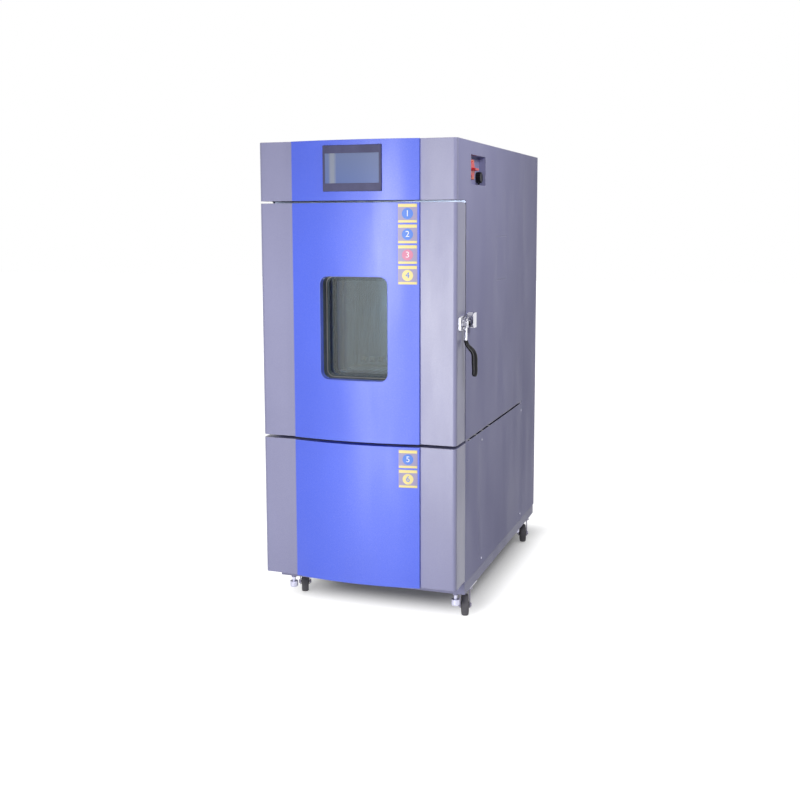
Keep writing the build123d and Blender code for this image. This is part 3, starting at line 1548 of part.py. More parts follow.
with BuildPart() as keeper_roller:
    with BuildSketch(across(keeper_base_x + running_gap)):
        with Locations(roller_place):
            Circle(roller_radius)
            Circle(roller_pin_radius + pin_clearance, mode=Mode.SUBTRACT)
    extrude(amount=keeper_inner - 2 * running_gap)
keeper_roller.part.label = "keeper_roller"
export_step(keeper_roller.part, "parts/keeper_roller.step")
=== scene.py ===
import json
import math

import bmesh
import bpy
from mathutils import Matrix, Vector


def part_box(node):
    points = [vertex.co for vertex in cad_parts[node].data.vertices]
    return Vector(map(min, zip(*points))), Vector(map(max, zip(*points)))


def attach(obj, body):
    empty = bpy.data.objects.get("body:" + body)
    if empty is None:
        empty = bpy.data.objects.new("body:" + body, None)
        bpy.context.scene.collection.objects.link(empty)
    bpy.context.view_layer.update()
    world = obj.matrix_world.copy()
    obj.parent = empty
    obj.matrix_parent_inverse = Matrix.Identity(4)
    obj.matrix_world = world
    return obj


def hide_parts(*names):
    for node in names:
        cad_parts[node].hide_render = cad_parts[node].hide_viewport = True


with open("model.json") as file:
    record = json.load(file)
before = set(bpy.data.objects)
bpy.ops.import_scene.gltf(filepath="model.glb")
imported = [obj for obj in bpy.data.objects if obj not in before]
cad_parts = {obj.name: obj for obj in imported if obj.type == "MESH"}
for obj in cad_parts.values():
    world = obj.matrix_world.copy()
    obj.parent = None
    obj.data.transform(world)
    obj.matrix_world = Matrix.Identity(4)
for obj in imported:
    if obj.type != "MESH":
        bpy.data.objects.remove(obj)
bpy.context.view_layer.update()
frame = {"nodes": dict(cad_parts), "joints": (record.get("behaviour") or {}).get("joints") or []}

# Camera: stands to the right of the chamber at head height, level with the control head.
# Its place comes from the cabinet's straight edges, with a small shift down the frame.
camera_place = Vector((1.2696, -3.8384, 1.3469))
camera_right = Vector((0.945621, 0.325256, -0.002989))
camera_up = Vector((-0.035815, 0.113250, 0.992921))
camera_data = bpy.data.cameras.new("studio_camera")
camera_data.sensor_width = 36.0
camera_data.lens = 48.8
camera_data.shift_y = -0.0625
camera = bpy.data.objects.new("studio_camera", camera_data)
camera_axes = Matrix((camera_right, camera_up, camera_right.cross(camera_up))).transposed()
camera.matrix_world = Matrix.Translation(camera_place) @ camera_axes.to_4x4()
bpy.context.scene.collection.objects.link(camera)
bpy.context.scene.camera = camera
bpy.context.scene.view_settings.view_transform = "Standard"


def shade(material, kind, feeds, **settings):
    """Adds one shader node: feeds maps its inputs to values or to other nodes' outputs."""
    node = material.node_tree.nodes.new("ShaderNode" + kind)
    for name, value in settings.items():
        setattr(node, name, value)
    for key, value in feeds.items():
        if isinstance(value, bpy.types.NodeSocket):
            material.node_tree.links.new(value, node.inputs[key])
        else:
            node.inputs[key].default_value = value
    return node


# Studio floor: pale matt sheet that runs out to white. Seen by the camera it is white, but in a
# rounded box round the chamber's footprint that white is faded out: a painted shadow, in which the
# chamber's own soft shadow also shows. The light that it throws back on the chamber is weaker.
floor_size = 40.0
floor_seen = 0.86
floor_thrown = 0.42
floor_lift = 0.02
shadow_width = 0.26
shadow_depth = 0.47
shadow_middle = 0.21
shadow_rounding = 0.15
fade_start = -0.05
fade_end = 0.20
floor_mesh = bpy.data.meshes.new("studio_floor")
half = floor_size / 2
floor_corners = [(-half, -half, 0), (half, -half, 0), (half, half, 0), (-half, half, 0)]
floor_mesh.from_pydata(floor_corners, [], [(0, 1, 2, 3)])
floor = bpy.data.objects.new("studio_floor", floor_mesh)
bpy.context.scene.collection.objects.link(floor)
floor_finish = bpy.data.materials.new("studio_floor")
floor_finish.use_nodes = True
floor_finish.node_tree.nodes.remove(floor_finish.node_tree.nodes["Principled BSDF"])
rays = shade(floor_finish, "LightPath", {})
seen = shade(
    floor_finish,
    "Math",
    {0: rays.outputs["Is Camera Ray"], 1: rays.outputs["Is Glossy Ray"]},
    operation="MAXIMUM",
)
tone = shade(
    floor_finish,
    "MapRange",
    {"Value": seen.outputs[0], "To Min": floor_thrown, "To Max": floor_seen},
)
spot = shade(floor_finish, "TexCoord", {})
spread = shade(floor_finish, "SeparateXYZ", {"Vector": spot.outputs["Object"]})
wide = shade(floor_finish, "Math", {0: spread.outputs["X"]}, operation="ABSOLUTE")
wide = shade(floor_finish, "Math", {0: wide.outputs[0], 1: shadow_width}, operation="SUBTRACT")
deep = shade(floor_finish, "Math", {0: spread.outputs["Y"], 1: shadow_middle}, operation="SUBTRACT")
deep = shade(floor_finish, "Math", {0: deep.outputs[0]}, operation="ABSOLUTE")
deep = shade(floor_finish, "Math", {0: deep.outputs[0], 1: shadow_depth}, operation="SUBTRACT")
reach = shade(
    floor_finish,
    "Math",
    {0: wide.outputs[0], 1: deep.outputs[0], 2: shadow_rounding},
    operation="SMOOTH_MAX",
)
# Painted shadow: the white lift fades out near the chamber's footprint, so the floor is darker there.
painted_shadow_fade = shade(
    floor_finish,
    "MapRange",
    {
        "Value": reach.outputs[0],
        "From Min": fade_start,
        "From Max": fade_end,
        "To Min": floor_lift,
        "To Max": 1.0,
    },
    interpolation_type="SMOOTHSTEP",
)
lift = shade(
    floor_finish,
    "Math",
    {0: seen.outputs[0], 1: painted_shadow_fade.outputs["Result"]},
    operation="MULTIPLY",
)
matt = shade(floor_finish, "BsdfDiffuse", {"Color": tone.outputs["Result"]})
glow = shade(floor_finish, "Emission", {"Strength": lift.outputs[0]})
both = shade(floor_finish, "AddShader", {0: matt.outputs[0], 1: glow.outputs[0]})
floor_finish.node_tree.links.new(
    both.outputs[0], floor_finish.node_tree.nodes["Material Output"].inputs["Surface"]
)
floor_mesh.materials.append(floor_finish)


def lamp(name, place, target, width, height, power):
    """Softbox of width by height that faces the target."""
    data = bpy.data.lights.new(name, "AREA")
    data.shape = "RECTANGLE"
    data.size = width
    data.size_y = height
    data.energy = power
    box = bpy.data.objects.new(name, data)
    facing = (Vector(target) - Vector(place)).to_track_quat("-Z", "Y")
    box.matrix_world = Matrix.Translation(place) @ facing.to_matrix().to_4x4()
    box.visible_camera = False
    bpy.context.scene.collection.objects.link(box)


# Studio light: one tall softbox in front, a little to the left, whose broad gloss lies on the
# right half of the bowed front, a small one high on the right that lights the upper part of the
# side, and an even white room that is weaker as light than it is as a backdrop.
lamp(
    "front_softbox",
    place=(-0.24, -2.75, 0.86),
    target=(0.05, -0.60, 0.80),
    width=0.60,
    height=1.7,
    power=41.0,
)
lamp(
    "side_softbox",
    place=(1.5, -0.9, 2.2),
    target=(0.34, 0.05, 1.25),
    width=0.6,
    height=0.6,
    power=12.0,
)
room_light = 0.20
world = bpy.data.worlds.new("studio_room")
world.use_nodes = True
bpy.context.scene.world = world
rays = shade(world, "LightPath", {})
seen = shade(
    world,
    "Math",
    {0: rays.outputs["Is Camera Ray"], 1: rays.outputs["Is Glossy Ray"]},
    operation="MAXIMUM",
)
seen = shade(
    world,
    "Math",
    {0: seen.outputs[0], 1: rays.outputs["Is Transmission Ray"]},
    operation="MAXIMUM",
)
strength = shade(world, "MapRange", {"Value": seen.outputs[0], "To Min": room_light, "To Max": 1.0})
backdrop = world.node_tree.nodes["Background"]
backdrop.inputs["Color"].default_value = (1, 1, 1, 1)
world.node_tree.links.new(strength.outputs["Result"], backdrop.inputs["Strength"])


def finish(name):
    """New material, its surface shader and the piece's own coordinates in metres."""
    material = bpy.data.materials.new(name)
    material.use_nodes = True
    place = shade(material, "TexCoord", {}).outputs["Object"]
    return material, material.node_tree.nodes["Principled BSDF"], place


def grain(material, place, scale, detail=2.0, stretch=(1, 1, 1), roughness=0.5):
    """Noise of scale per metre, drawn out along an axis whose stretch is small."""
    spread = shade(material, "Mapping", {"Vector": place, "Scale": stretch}).outputs["Vector"]
    feeds = {"Vector": spread, "Scale": scale, "Detail": detail, "Roughness": roughness}
    return shade(material, "TexNoise", feeds).outputs["Fac"]


def between(material, factor, low, high, start=0.35, end=0.65):
    """Number that runs from low to high while factor runs from start to end."""
    feeds = {"Value": factor, "From Min": start, "From Max": end, "To Min": low, "To Max": high}
    return shade(material, "MapRange", feeds).outputs["Result"]


def tint(material, factor, first, second):
    """Colour between first and second."""
    feeds = {0: factor, 6: first, 7: second}
    return shade(material, "Mix", feeds, data_type="RGBA").outputs[2]


def relief(material, height, strength, distance, under=None):
    """Surface relief from a height between 0 and 1, over another relief if one is given."""
    feeds = {"Height": height, "Strength": strength, "Distance": distance}
    if under is not None:
        feeds["Normal"] = under
    return shade(material, "Bump", feeds).outputs["Normal"]


def join(material, socket, surface, name):
    """Feeds one input of the surface shader."""
    material.node_tree.links.new(socket, surface.inputs[name])


def dress(material, *nodes):
    """Puts a finish on pieces of the frame."""
    for node in nodes:
        for slot in frame["nodes"][node].material_slots:
            slot.material = material


def toned(colour, part):
    """Colour made darker or paler by a part of itself."""
    return tuple(min(1.0, part * value) for value in colour[:3]) + (1,)


def powder_coat(name, colour, roughness, peel, edge_highlight_tone, gloss):
    """Baked powder coat: orange peel, fine speckle, faint clouding, softened edges with a painted
    highlight along them.
    """
    edge_radius = 0.0022
    peel_height = 0.0006
    speck_height = 0.0002
    material, surface, place = finish(name)
    cloud = grain(material, place, 1.7, 3.0)
    speck = grain(material, place, 950.0, 2.0)
    smear = grain(material, place, 9.0, 5.0, (1, 1, 0.25))
    base = tint(material, between(material, cloud, 0.0, 1.0), toned(colour, 0.94), toned(colour, 1.05))
    base = tint(material, between(material, speck, 0.0, 0.10, 0.5, 0.75), base, (1, 1, 1, 1))
    base = tint(material, between(material, speck, 0.10, 0.0, 0.25, 0.5), base, (0, 0, 0, 1))
    rounded = shade(material, "Bevel", {"Radius": edge_radius}, samples=4).outputs["Normal"]
    flat = shade(material, "NewGeometry", {}).outputs["Normal"]
    same = shade(material, "VectorMath", {0: rounded, 1: flat}, operation="DOT_PRODUCT")
    # Paler colour where the bevel normal turns away from the face: a painted highlight on edges and
    # seams.
    painted_edge_highlight = between(material, same.outputs["Value"], 0.85, 0.0, 0.78, 0.99)
    base = tint(material, painted_edge_highlight, base, edge_highlight_tone)
    join(material, base, surface, "Base Color")
    join(material, between(material, smear, roughness - 0.05, roughness + 0.07), surface, "Roughness")
    ripple = grain(material, place, 260.0, 1.0)
    skin = relief(material, ripple, peel, peel_height, rounded)
    join(material, relief(material, speck, 0.05, speck_height, skin), surface, "Normal")
    surface.inputs["Specular IOR Level"].default_value = gloss
    return material


# Base frame: folded steel channel ring with floor pan, posts and deck, welded and painted grey
# with the cabinet's powder coat before the casters are bolted on. The front shells are glossier
# than the side sheets, whose coat is a paler, bluer copy set for how light falls there: painted light.
grey_coat = powder_coat(
    "grey_powder_coat",
    colour=(0.28, 0.28, 0.46, 1),
    roughness=0.35,
    peel=0.10,
    edge_highlight_tone=(0.74, 0.74, 0.92, 1),
    gloss=0.62,
)
# Side copy of the same grey coat: paler, bluer and less glossy for how light falls on the sides; painted
# light, not a second paint.
side_shading_copy_coat = powder_coat(
    "side_shading_copy_powder_coat",
    colour=(0.36, 0.36, 0.60, 1),
    roughness=0.50,
    peel=0.10,
    edge_highlight_tone=(0.78, 0.78, 0.98, 1),
    gloss=0.10,
)
frame_coat = powder_coat(
    "frame_powder_coat",
    colour=(0.34, 0.34, 0.52, 1),
    roughness=0.48,
    peel=0.14,
    edge_highlight_tone=(0.62, 0.62, 0.80, 1),
    gloss=0.30,
)
dress(frame_coat, "base_frame")


def bright_zinc(name, colour, low, high):
    """Bright plated steel: soft gloss with cloudy passivation and fine handling scratches."""
    material, surface, place = finish(name)
    cloud = grain(material, place, 60.0, 4.0)
    scratch = grain(material, place, 700.0, 3.0, (1, 0.06, 0.5), 0.7)
    base = tint(material, between(material, cloud, 0.0, 1.0), toned(colour, 0.82), colour)
    join(material, base, surface, "Base Color")
    join(material, between(material, scratch, low, high, 0.3, 0.7), surface, "Roughness")
    surface.inputs["Metallic"].default_value = 0.9
    join(material, relief(material, scratch, 0.08, 0.0002), surface, "Normal")
    return material


def mounted(name, mesh, body):
    """Object at the origin that carries a mesh and rides on its body."""
    piece = bpy.data.objects.new(name, mesh)
    bpy.context.scene.collection.objects.link(piece)
    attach(piece, body)
    return piece


def finished(name, shape, finishes, body, smooth=35.0):
    """Turns a finished bmesh into a piece that rides on its body."""
    mesh = bpy.data.meshes.new(name)
    bmesh.ops.remove_doubles(shape, verts=shape.verts, dist=1e-6)
    bmesh.ops.recalc_face_normals(shape, faces=shape.faces)
    shape.to_mesh(mesh)
    shape.free()
    mesh.shade_smooth()
    mesh.set_sharp_from_angle(angle=math.radians(smooth))
    for coat in finishes:
        mesh.materials.append(coat)
    return mounted(name, mesh, body)


def turned(shape, profile, centre, axis, steps=64, index=0):
    """Adds a closed ring turned round an axis: profile is (radius, along) corner by corner."""
    on_axis = 1e-7
    axis = Vector(axis).normalized()
    start = axis.orthogonal().normalized()
    rings = []
    for step in range(steps):
        spoke = Matrix.Rotation(math.tau * step / steps, 3, axis) @ start
        places = [Vector(centre) + spoke * radius + axis * along for radius, along in profile]
        rings.append([shape.verts.new(place) for place in places])
    for here, beyond in zip(rings, rings[1:] + rings[:1]):
        for corner in range(len(profile)):
            after = (corner + 1) % len(profile)
            if profile[corner][0] < on_axis and profile[after][0] < on_axis:
                continue
            face = shape.faces.new((here[corner], here[after], beyond[after], beyond[corner]))
            face.material_index = index


def wall(shape, first, second, index=0):
    """Adds a closed band of faces between two loops of equal length."""
    for corner in range(len(first)):
        after = (corner + 1) % len(first)
        face = shape.faces.new((first[corner], first[after], second[after], second[corner]))
        face.material_index = index


# Casters: zinc-plated top plates and pressed forks on ball races, bolted under the frame.
# The wheel is a black moulded core with a grey rubber tread.
zinc = bright_zinc("bright_zinc", (0.86, 0.86, 0.90, 1), 0.18, 0.42)
corners = ("front_right", "front_left", "rear_right", "rear_left")
dress(zinc, "caster_plates")
fork_enamel, fork_surface, fork_place = finish("fork_enamel")
fork_cloud = grain(fork_enamel, fork_place, 45.0, 3.0)
fork_tone = between(fork_enamel, fork_cloud, 0.0, 1.0)
fork_base = tint(fork_enamel, fork_tone, (0.40, 0.37, 0.52, 1), (0.50, 0.48, 0.62, 1))
join(fork_enamel, fork_base, fork_surface, "Base Color")
join(fork_enamel, between(fork_enamel, fork_cloud, 0.20, 0.34), fork_surface, "Roughness")
fork_surface.inputs["Metallic"].default_value = 0.20
fork_grain = grain(fork_enamel, fork_place, 800.0, 2.0)
join(fork_enamel, relief(fork_enamel, fork_grain, 0.06, 0.0002), fork_surface, "Normal")
dress(fork_enamel, *["caster_fork_" + corner for corner in corners])


def moulded(name, colour, roughness, scale, depth):
    """Moulded plastic or rubber with a fine spark-eroded grain and a faint bloom."""
    material, surface, place = finish(name)
    bloom = grain(material, place, 22.0, 4.0)
    skin = grain(material, place, scale, 3.0)
    lighter = tuple(min(1.0, part * 1.35 + 0.012) for part in colour[:3]) + (1,)
    base = tint(material, between(material, bloom, 0.0, 1.0, 0.4, 0.8), colour, lighter)
    join(material, base, surface, "Base Color")
    gloss = between(material, skin, roughness - 0.07, roughness + 0.10, 0.3, 0.7)
    join(material, gloss, surface, "Roughness")
    join(material, relief(material, skin, depth, 0.0003), surface, "Normal")
    return material


tread_rubber = moulded("tread_rubber", (0.115, 0.11, 0.125, 1), 0.62, 420.0, 0.25)
core_plastic = moulded("core_plastic", (0.012, 0.012, 0.016, 1), 0.38, 900.0, 0.10)
wheel_radius = 0.0375
axle_bore = 0.00405
tread_half = 0.025 / 2
core_half = 0.029 / 2
tread_side = (
    (0.0285, tread_half - 0.0012),
    (0.0300, tread_half),
    (0.0338, tread_half - 0.0006),
    (0.0358, tread_half - 0.0026),
    (0.0370, tread_half - 0.0058),
    (wheel_radius, 0.0035),
)
core_side = (
    (axle_bore, core_half),
    (0.0105, core_half),
    (0.0118, core_half - 0.0012),
    (0.0130, tread_half - 0.0050),
    (0.0250, tread_half - 0.0044),
    (0.0268, tread_half - 0.0018),
    (0.0290, tread_half - 0.0014),
)


def both_sides(side):
    """Closed profile from one side of the wheel, given as (radius, distance from the middle)."""
    return [(radius, -out) for radius, out in side] + [(radius, out) for radius, out in reversed(side)]


joints = {joint["name"]: joint for joint in frame["joints"]}
for corner in corners:
    low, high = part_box("caster_wheel_" + corner)
    centre = (low + high) / 2
    axle = Vector(joints["wheel_spin_" + corner]["axis"])
    wheel = bmesh.new()
    turned(wheel, both_sides(tread_side), centre, axle, 96, 0)
    turned(wheel, both_sides(core_side), centre, axle, 64, 1)
    name = "wheel_" + corner
    piece = finished(name, wheel, (tread_rubber, core_plastic), name, 25.0)
    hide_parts("caster_wheel_" + corner)

# Levelling feet: zinc-plated threaded stems with a rounded tip, screwed into the base frame
# beside the casters and wound up clear of the floor.
foot_zinc = bright_zinc("foot_zinc", (0.60, 0.60, 0.74, 1), 0.30, 0.50)
dress(foot_zinc, *["levelling_foot_" + corner for corner in corners])


def wired(tree, kind, feeds, **settings):
    """Adds one geometry node: feeds maps its inputs to values or to other nodes' outputs."""
    node = tree.nodes.new(kind)
    for name, value in settings.items():
        setattr(node, name, value)
    for key, value in feeds.items():
        if isinstance(value, bpy.types.NodeSocket):
            tree.links.new(value, node.inputs[key])
        else:
            node.inputs[key].default_value = value
    return node


def tree_of(name, inputs):
    """Empty geometry tree with named inputs, each given as (name, socket type)."""
    tree = bpy.data.node_groups.new(name, "GeometryNodeTree")
    for label, kind in inputs:
        tree.interface.new_socket(label, in_out="INPUT", socket_type=kind)
    tree.interface.new_socket("Geometry", in_out="OUTPUT", socket_type="NodeSocketGeometry")
    return tree, tree.nodes.new("NodeGroupInput").outputs


def plain_mesh(holder):
    """Mesh of the holder as its modifiers leave it. The modifiers and the holder are removed."""
    bpy.context.view_layer.update()
    evaluated = holder.evaluated_get(bpy.context.evaluated_depsgraph_get())
    mesh = bpy.data.meshes.new_from_object(evaluated)
    holder.modifiers.clear()
    bpy.data.objects.remove(holder)
    return mesh


def grown(name, tree, points, facings, values, body, smooth=35.0):
    """Runs a tree on a set of points that face outwards and keeps its result as a plain piece."""
    seeds = bpy.data.meshes.new(name + "_seeds")
    seeds.from_pydata([tuple(point) for point in points], [], [])
    facing = seeds.attributes.new("facing", "FLOAT_VECTOR", "POINT")
    for spot, direction in zip(facing.data, facings):
        spot.vector = direction
    holder = bpy.data.objects.new(name + "_holder", seeds)
    bpy.context.scene.collection.objects.link(holder)
    modifier = holder.modifiers.new("grow", "NODES")
    modifier.node_group = tree
    for item in tree.interface.items_tree:
        if item.name in values:
            modifier[item.identifier] = values[item.name]
    mesh = plain_mesh(holder)
    mesh.name = name
    mesh.set_sharp_from_angle(angle=math.radians(smooth))
    return mounted(name, mesh, body)


# Fasteners: domed cross-head screws and hexagon bolts of plated steel, driven from outside into
# rivet nuts. One tree sets a master head on every place, turned as it stopped.
fastener_rows, given = tree_of(
    "fastener_rows",
    (
        ("Geometry", "NodeSocketGeometry"),
        ("Head", "NodeSocketObject"),
        ("Size", "NodeSocketFloat"),
        ("Seed", "NodeSocketInt"),
        ("Coat", "NodeSocketMaterial"),
    ),
)
head_shape = wired(fastener_rows, "GeometryNodeObjectInfo", {"Object": given["Head"]})
way_out = wired(
    fastener_rows,
    "GeometryNodeInputNamedAttribute",
    {"Name": "facing"},
    data_type="FLOAT_VECTOR",
)
aimed = wired(
    fastener_rows,
    "FunctionNodeAlignRotationToVector",
    {"Vector": way_out.outputs["Attribute"]},
    axis="Z",
)
heads = wired(
    fastener_rows,
    "GeometryNodeInstanceOnPoints",
    {
        "Points": given["Geometry"],
        "Instance": head_shape.outputs["Geometry"],
        "Rotation": aimed.outputs["Rotation"],
        "Scale": given["Size"],
    },
)
largest_turn = 3
stop = wired(
    fastener_rows,
    "FunctionNodeRandomValue",
    {"Seed": given["Seed"], largest_turn: math.tau},
    data_type="FLOAT",
)
spin = wired(fastener_rows, "ShaderNodeCombineXYZ", {"Z": stop.outputs[1]})
turn = wired(fastener_rows, "FunctionNodeEulerToRotation", {"Euler": spin.outputs[0]})
driven = wired(
    fastener_rows,
    "GeometryNodeRotateInstances",
    {"Instances": heads.outputs["Instances"], "Rotation": turn.outputs["Rotation"], "Local Space": True},
)
solid = wired(fastener_rows, "GeometryNodeRealizeInstances", {"Geometry": driven.outputs["Instances"]})
coated = wired(
    fastener_rows,
    "GeometryNodeSetMaterial",
    {"Geometry": solid.outputs["Geometry"], "Material": given["Coat"]},
)
wired(fastener_rows, "NodeGroupOutput", {"Geometry": coated.outputs["Geometry"]})


def master(name, shape):
    """Keeps a master shape drawn in millimetres out of the picture, as a source for a tree."""
    mesh = bpy.data.meshes.new(name)
    millimetre = 0.001
    bmesh.ops.scale(shape, vec=Vector((millimetre,) * 3), verts=shape.verts)
    bmesh.ops.recalc_face_normals(shape, faces=shape.faces)
    shape.to_mesh(mesh)
    shape.free()
    mesh.shade_smooth()
    return bpy.data.objects.new(name, mesh)


def cross_head():
    """Domed head of 1 mm radius with a cross recess, standing on z = 0."""
    shape = bmesh.new()
    sides = 20
    spokes = [math.tau * side / sides for side in range(sides)]
    levels = ((1.0, -0.15), (1.0, 0.18), (0.93, 0.34), (0.74, 0.48), (0.56, 0.54))
    rings = []
    for radius, height in levels:
        ring = [(radius * math.cos(spoke), radius * math.sin(spoke), height) for spoke in spokes]
        rings.append([shape.verts.new(place) for place in ring])
    for lower, upper in zip(rings, rings[1:]):
        wall(shape, lower, upper)
    shape.faces.new(rings[0][::-1])
    arm, slim = 0.46, 0.11
    foot_part, foot_height = 0.6, 0.12
    outline = (
        (arm, -slim),
        (arm, slim),
        (slim, slim),
        (slim, arm),
        (-slim, arm),
        (-slim, slim),
        (-arm, slim),
        (-arm, -slim),
        (-slim, -slim),
        (-slim, -arm),
        (slim, -arm),
        (slim, -slim),
    )
    mouth = [shape.verts.new((x, y, levels[-1][1])) for x, y in outline]
    foot = [shape.verts.new((foot_part * x, foot_part * y, foot_height)) for x, y in outline]
    wall(shape, mouth, foot)
    shape.faces.new(foot)
    open_edges = []
    for loop in (rings[-1], mouth):
        for here, beyond in zip(loop, loop[1:] + loop[:1]):
            open_edges.append(shape.edges.get((here, beyond)))
    bmesh.ops.triangle_fill(shape, edges=open_edges, use_beauty=True)
    return master("cross_head_master", shape)


def hex_head():
    """Hexagon head of 1 mm radius with a washer face and a chamfered top."""
    shape = bmesh.new()
    washer = [(0.0, -0.1), (1.15, -0.1), (1.15, 0.08), (0.0, 0.08)]
    hexagon = [(0.0, 0.06), (1.0, 0.06), (1.0, 0.62), (0.86, 0.72), (0.0, 0.72)]
    turned(shape, washer, (0, 0, 0), (0, 0, 1), 24)
    turned(shape, hexagon, (0, 0, 0), (0, 0, 1), 6)
    bmesh.ops.remove_doubles(shape, verts=shape.verts, dist=1e-6)
    return master("hex_head_master", shape)


screw_head = cross_head()
bolt_head = hex_head()
screw_zinc = bright_zinc("screw_zinc", (0.55, 0.55, 0.66, 1), 0.22, 0.45)

# Bolts of the caster plates: four zinc-plated hexagon bolts through each plate into the frame,
# with their heads underneath.
bolt_spread_x, bolt_spread_y = 0.026, 0.037
bolt_level = 0.104
bolt_radius_mm = 5.5
bolt_places = []
for corner in corners:
    pivot = Vector(joints["swivel_" + corner]["pos_m"])
    for x in (pivot.x - bolt_spread_x, pivot.x + bolt_spread_x):
        for y in (pivot.y - bolt_spread_y, pivot.y + bolt_spread_y):
            bolt_places.append((x, y, bolt_level))
grown(
    "caster_plate_bolts",
    fastener_rows,
    bolt_places,
    [(0, 0, -1)] * len(bolt_places),
    {"Head": bolt_head, "Size": bolt_radius_mm, "Seed": 3, "Coat": zinc},
    "cabinet",
)

# Painted cabinet: folded sheet steel with grey powder coat. Apron, side strips, side covers,
# side sheets, service cover, top sheet, head shell, door shell and the rear column.
dress(grey_coat, "base_apron", "head_shell", "door_shell")
# These sides, top, service cover and rear column take the side copy of the grey coat, whose colour and
# gloss stand in for their light: painted light.
dress(side_shading_copy_coat, "base_side_strips", "base_side_covers", "side_panel_right", "side_panel_left")
dress(side_shading_copy_coat, "service_cover", "top_cover", "rear_column", "rear_service_panel")

# Bowed front panels: pressed sheets with satin blue powder coat on the base, the door and the
# control head, held from behind.
blue_coat = powder_coat(
    "blue_powder_coat",
    colour=(0.075, 0.140, 0.84, 1),
    roughness=0.38,
    peel=0.07,
    edge_highlight_tone=(0.30, 0.38, 0.95, 1),
    gloss=0.70,
)
dress(blue_coat, "base_front_panel", "head_front_panel", "door_front_panel")

# Screws of the base side covers: one near each corner of both covers, driven into the posts
# of the base frame.
cover_low, cover_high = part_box("base_side_covers")
screw_inset = 0.021
screw_level = 0.028
screw_sink = 0.0002
cover_screw_radius_mm = 3.9
cover_screws, cover_facings = [], []
for side in (-1, 1):
    for y in (cover_low.y + screw_inset, cover_high.y - screw_inset):
        for z in (cover_low.z + screw_level, cover_high.z - screw_level):
            cover_screws.append((side * (cover_high.x - screw_sink), y, z))
            cover_facings.append((side, 0, 0))
grown(
    "side_cover_screws",
    fastener_rows,
    cover_screws,
    cover_facings,
    {"Head": screw_head, "Size": cover_screw_radius_mm, "Seed": 5, "Coat": screw_zinc},
    "cabinet",
)

# Screws of the rear service panel: a row down each side and three across top and bottom, so
# that the louvred sheet comes off the rear column.
rear_low, rear_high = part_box("rear_service_panel")
rear_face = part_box("rear_column")[1].y
side_rows = 8
row_inset = 0.05
edge_inset = 0.022
middle_pitch = 0.15
rear_screw_radius_mm = 4.0
row_pitch = (rear_high.z - rear_low.z - 2 * row_inset) / (side_rows - 1)
rear_screws = []
for row in range(side_rows):
    level = rear_low.z + row_inset + row * row_pitch
    rear_screws += [(side * (rear_high.x - edge_inset), rear_face, level) for side in (-1, 1)]
for level in (rear_low.z + edge_inset, rear_high.z - edge_inset):
    rear_screws += [(x, rear_face, level) for x in (-middle_pitch, 0.0, middle_pitch)]
grown(
    "service_panel_screws",
    fastener_rows,
    rear_screws,
    [(0, 1, 0)] * len(rear_screws),
    {"Head": screw_head, "Size": rear_screw_radius_mm, "Seed": 8, "Coat": screw_zinc},
    "cabinet",
)


def brushed(name, colour, along, low, high):
    """Brushed stainless sheet: fine streaks along one axis and slow waves in the gloss."""
    material, surface, place = finish(name)
    drawn = 0.004
    stretch = {"Y": (1, drawn, 1), "Z": (1, 1, drawn)}[along]
    streak = grain(material, place, 1400.0, 3.0, stretch, 0.6)
    wave = grain(material, place, 5.0, 2.0)
    base = tint(material, between(material, streak, 0.0, 1.0), toned(colour, 0.80), colour)
    base = tint(material, between(material, wave, 0.0, 0.25), base, toned(colour, 0.7))
    join(material, base, surface, "Base Color")
    surface.inputs["Metallic"].default_value = 1.0
    join(material, between(material, streak, low, high, 0.3, 0.7), surface, "Roughness")
    join(material, relief(material, streak, 0.10, 0.0002), surface, "Normal")
    return material


# Test space: stainless liner, slotted baffle and perforated shelf uprights, spot-welded and
# brushed upright, with the wire shelf lying on its ledges.
# The liner's steel is darker and bluer than the door's stainless: painted shade with a painted blue
# cast, for the dim interior seen through the window.
shaded_liner_steel = brushed("shaded_liner_stainless", (0.40, 0.47, 0.62, 1), "Z", 0.22, 0.40)
dress(shaded_liner_steel, "inner_liner", "air_baffle", "shelf_uprights")
panel_steel = brushed("door_stainless", (0.66, 0.68, 0.71, 1), "Z", 0.26, 0.44)
dress(panel_steel, "door_inner_panel", "test_port_sleeve")
wire_steel = brushed("wire_stainless", (0.70, 0.71, 0.73, 1), "Y", 0.16, 0.30)
dress(wire_steel, "shelf", "heater")

# Foam between liner and sheets: pale closed-cell polyurethane, foamed in place, so that it
# fills the whole gap round the test space.
foam, foam_surface, foam_place = finish("insulation_foam")
cells = shade(foam, "TexVoronoi", {"Vector": foam_place, "Scale": 260.0}).outputs["Distance"]
cell_tone = between(foam, cells, 0.0, 1.0, 0.1, 0.7)
foam_base = tint(foam, cell_tone, (0.62, 0.56, 0.36, 1), (0.80, 0.75, 0.55, 1))
join(foam, foam_base, foam_surface, "Base Color")
join(foam, relief(foam, cells, 0.5, 0.0008), foam_surface, "Normal")
foam_surface.inputs["Roughness"].default_value = 0.9
dress(foam, "insulation")

# Air duct and condenser: aluminium blower wheel and fan on their motors, finned coils, and the
# stainless humidifier pan.
mill_aluminium = brushed("mill_aluminium", (0.76, 0.77, 0.79, 1), "Z", 0.32, 0.50)
dress(mill_aluminium, "evaporator", "condenser", "circulation_blower", "condenser_fan")
dress(panel_steel, "humidifier_pan")

# Machines: hermetic compressor on its feet in the base, and the blower motor behind the
# liner, both in black enamel.
enamel = moulded("black_enamel", (0.020, 0.020, 0.024, 1), 0.28, 500.0, 0.10)
dress(enamel, "compressor", "blower_motor")


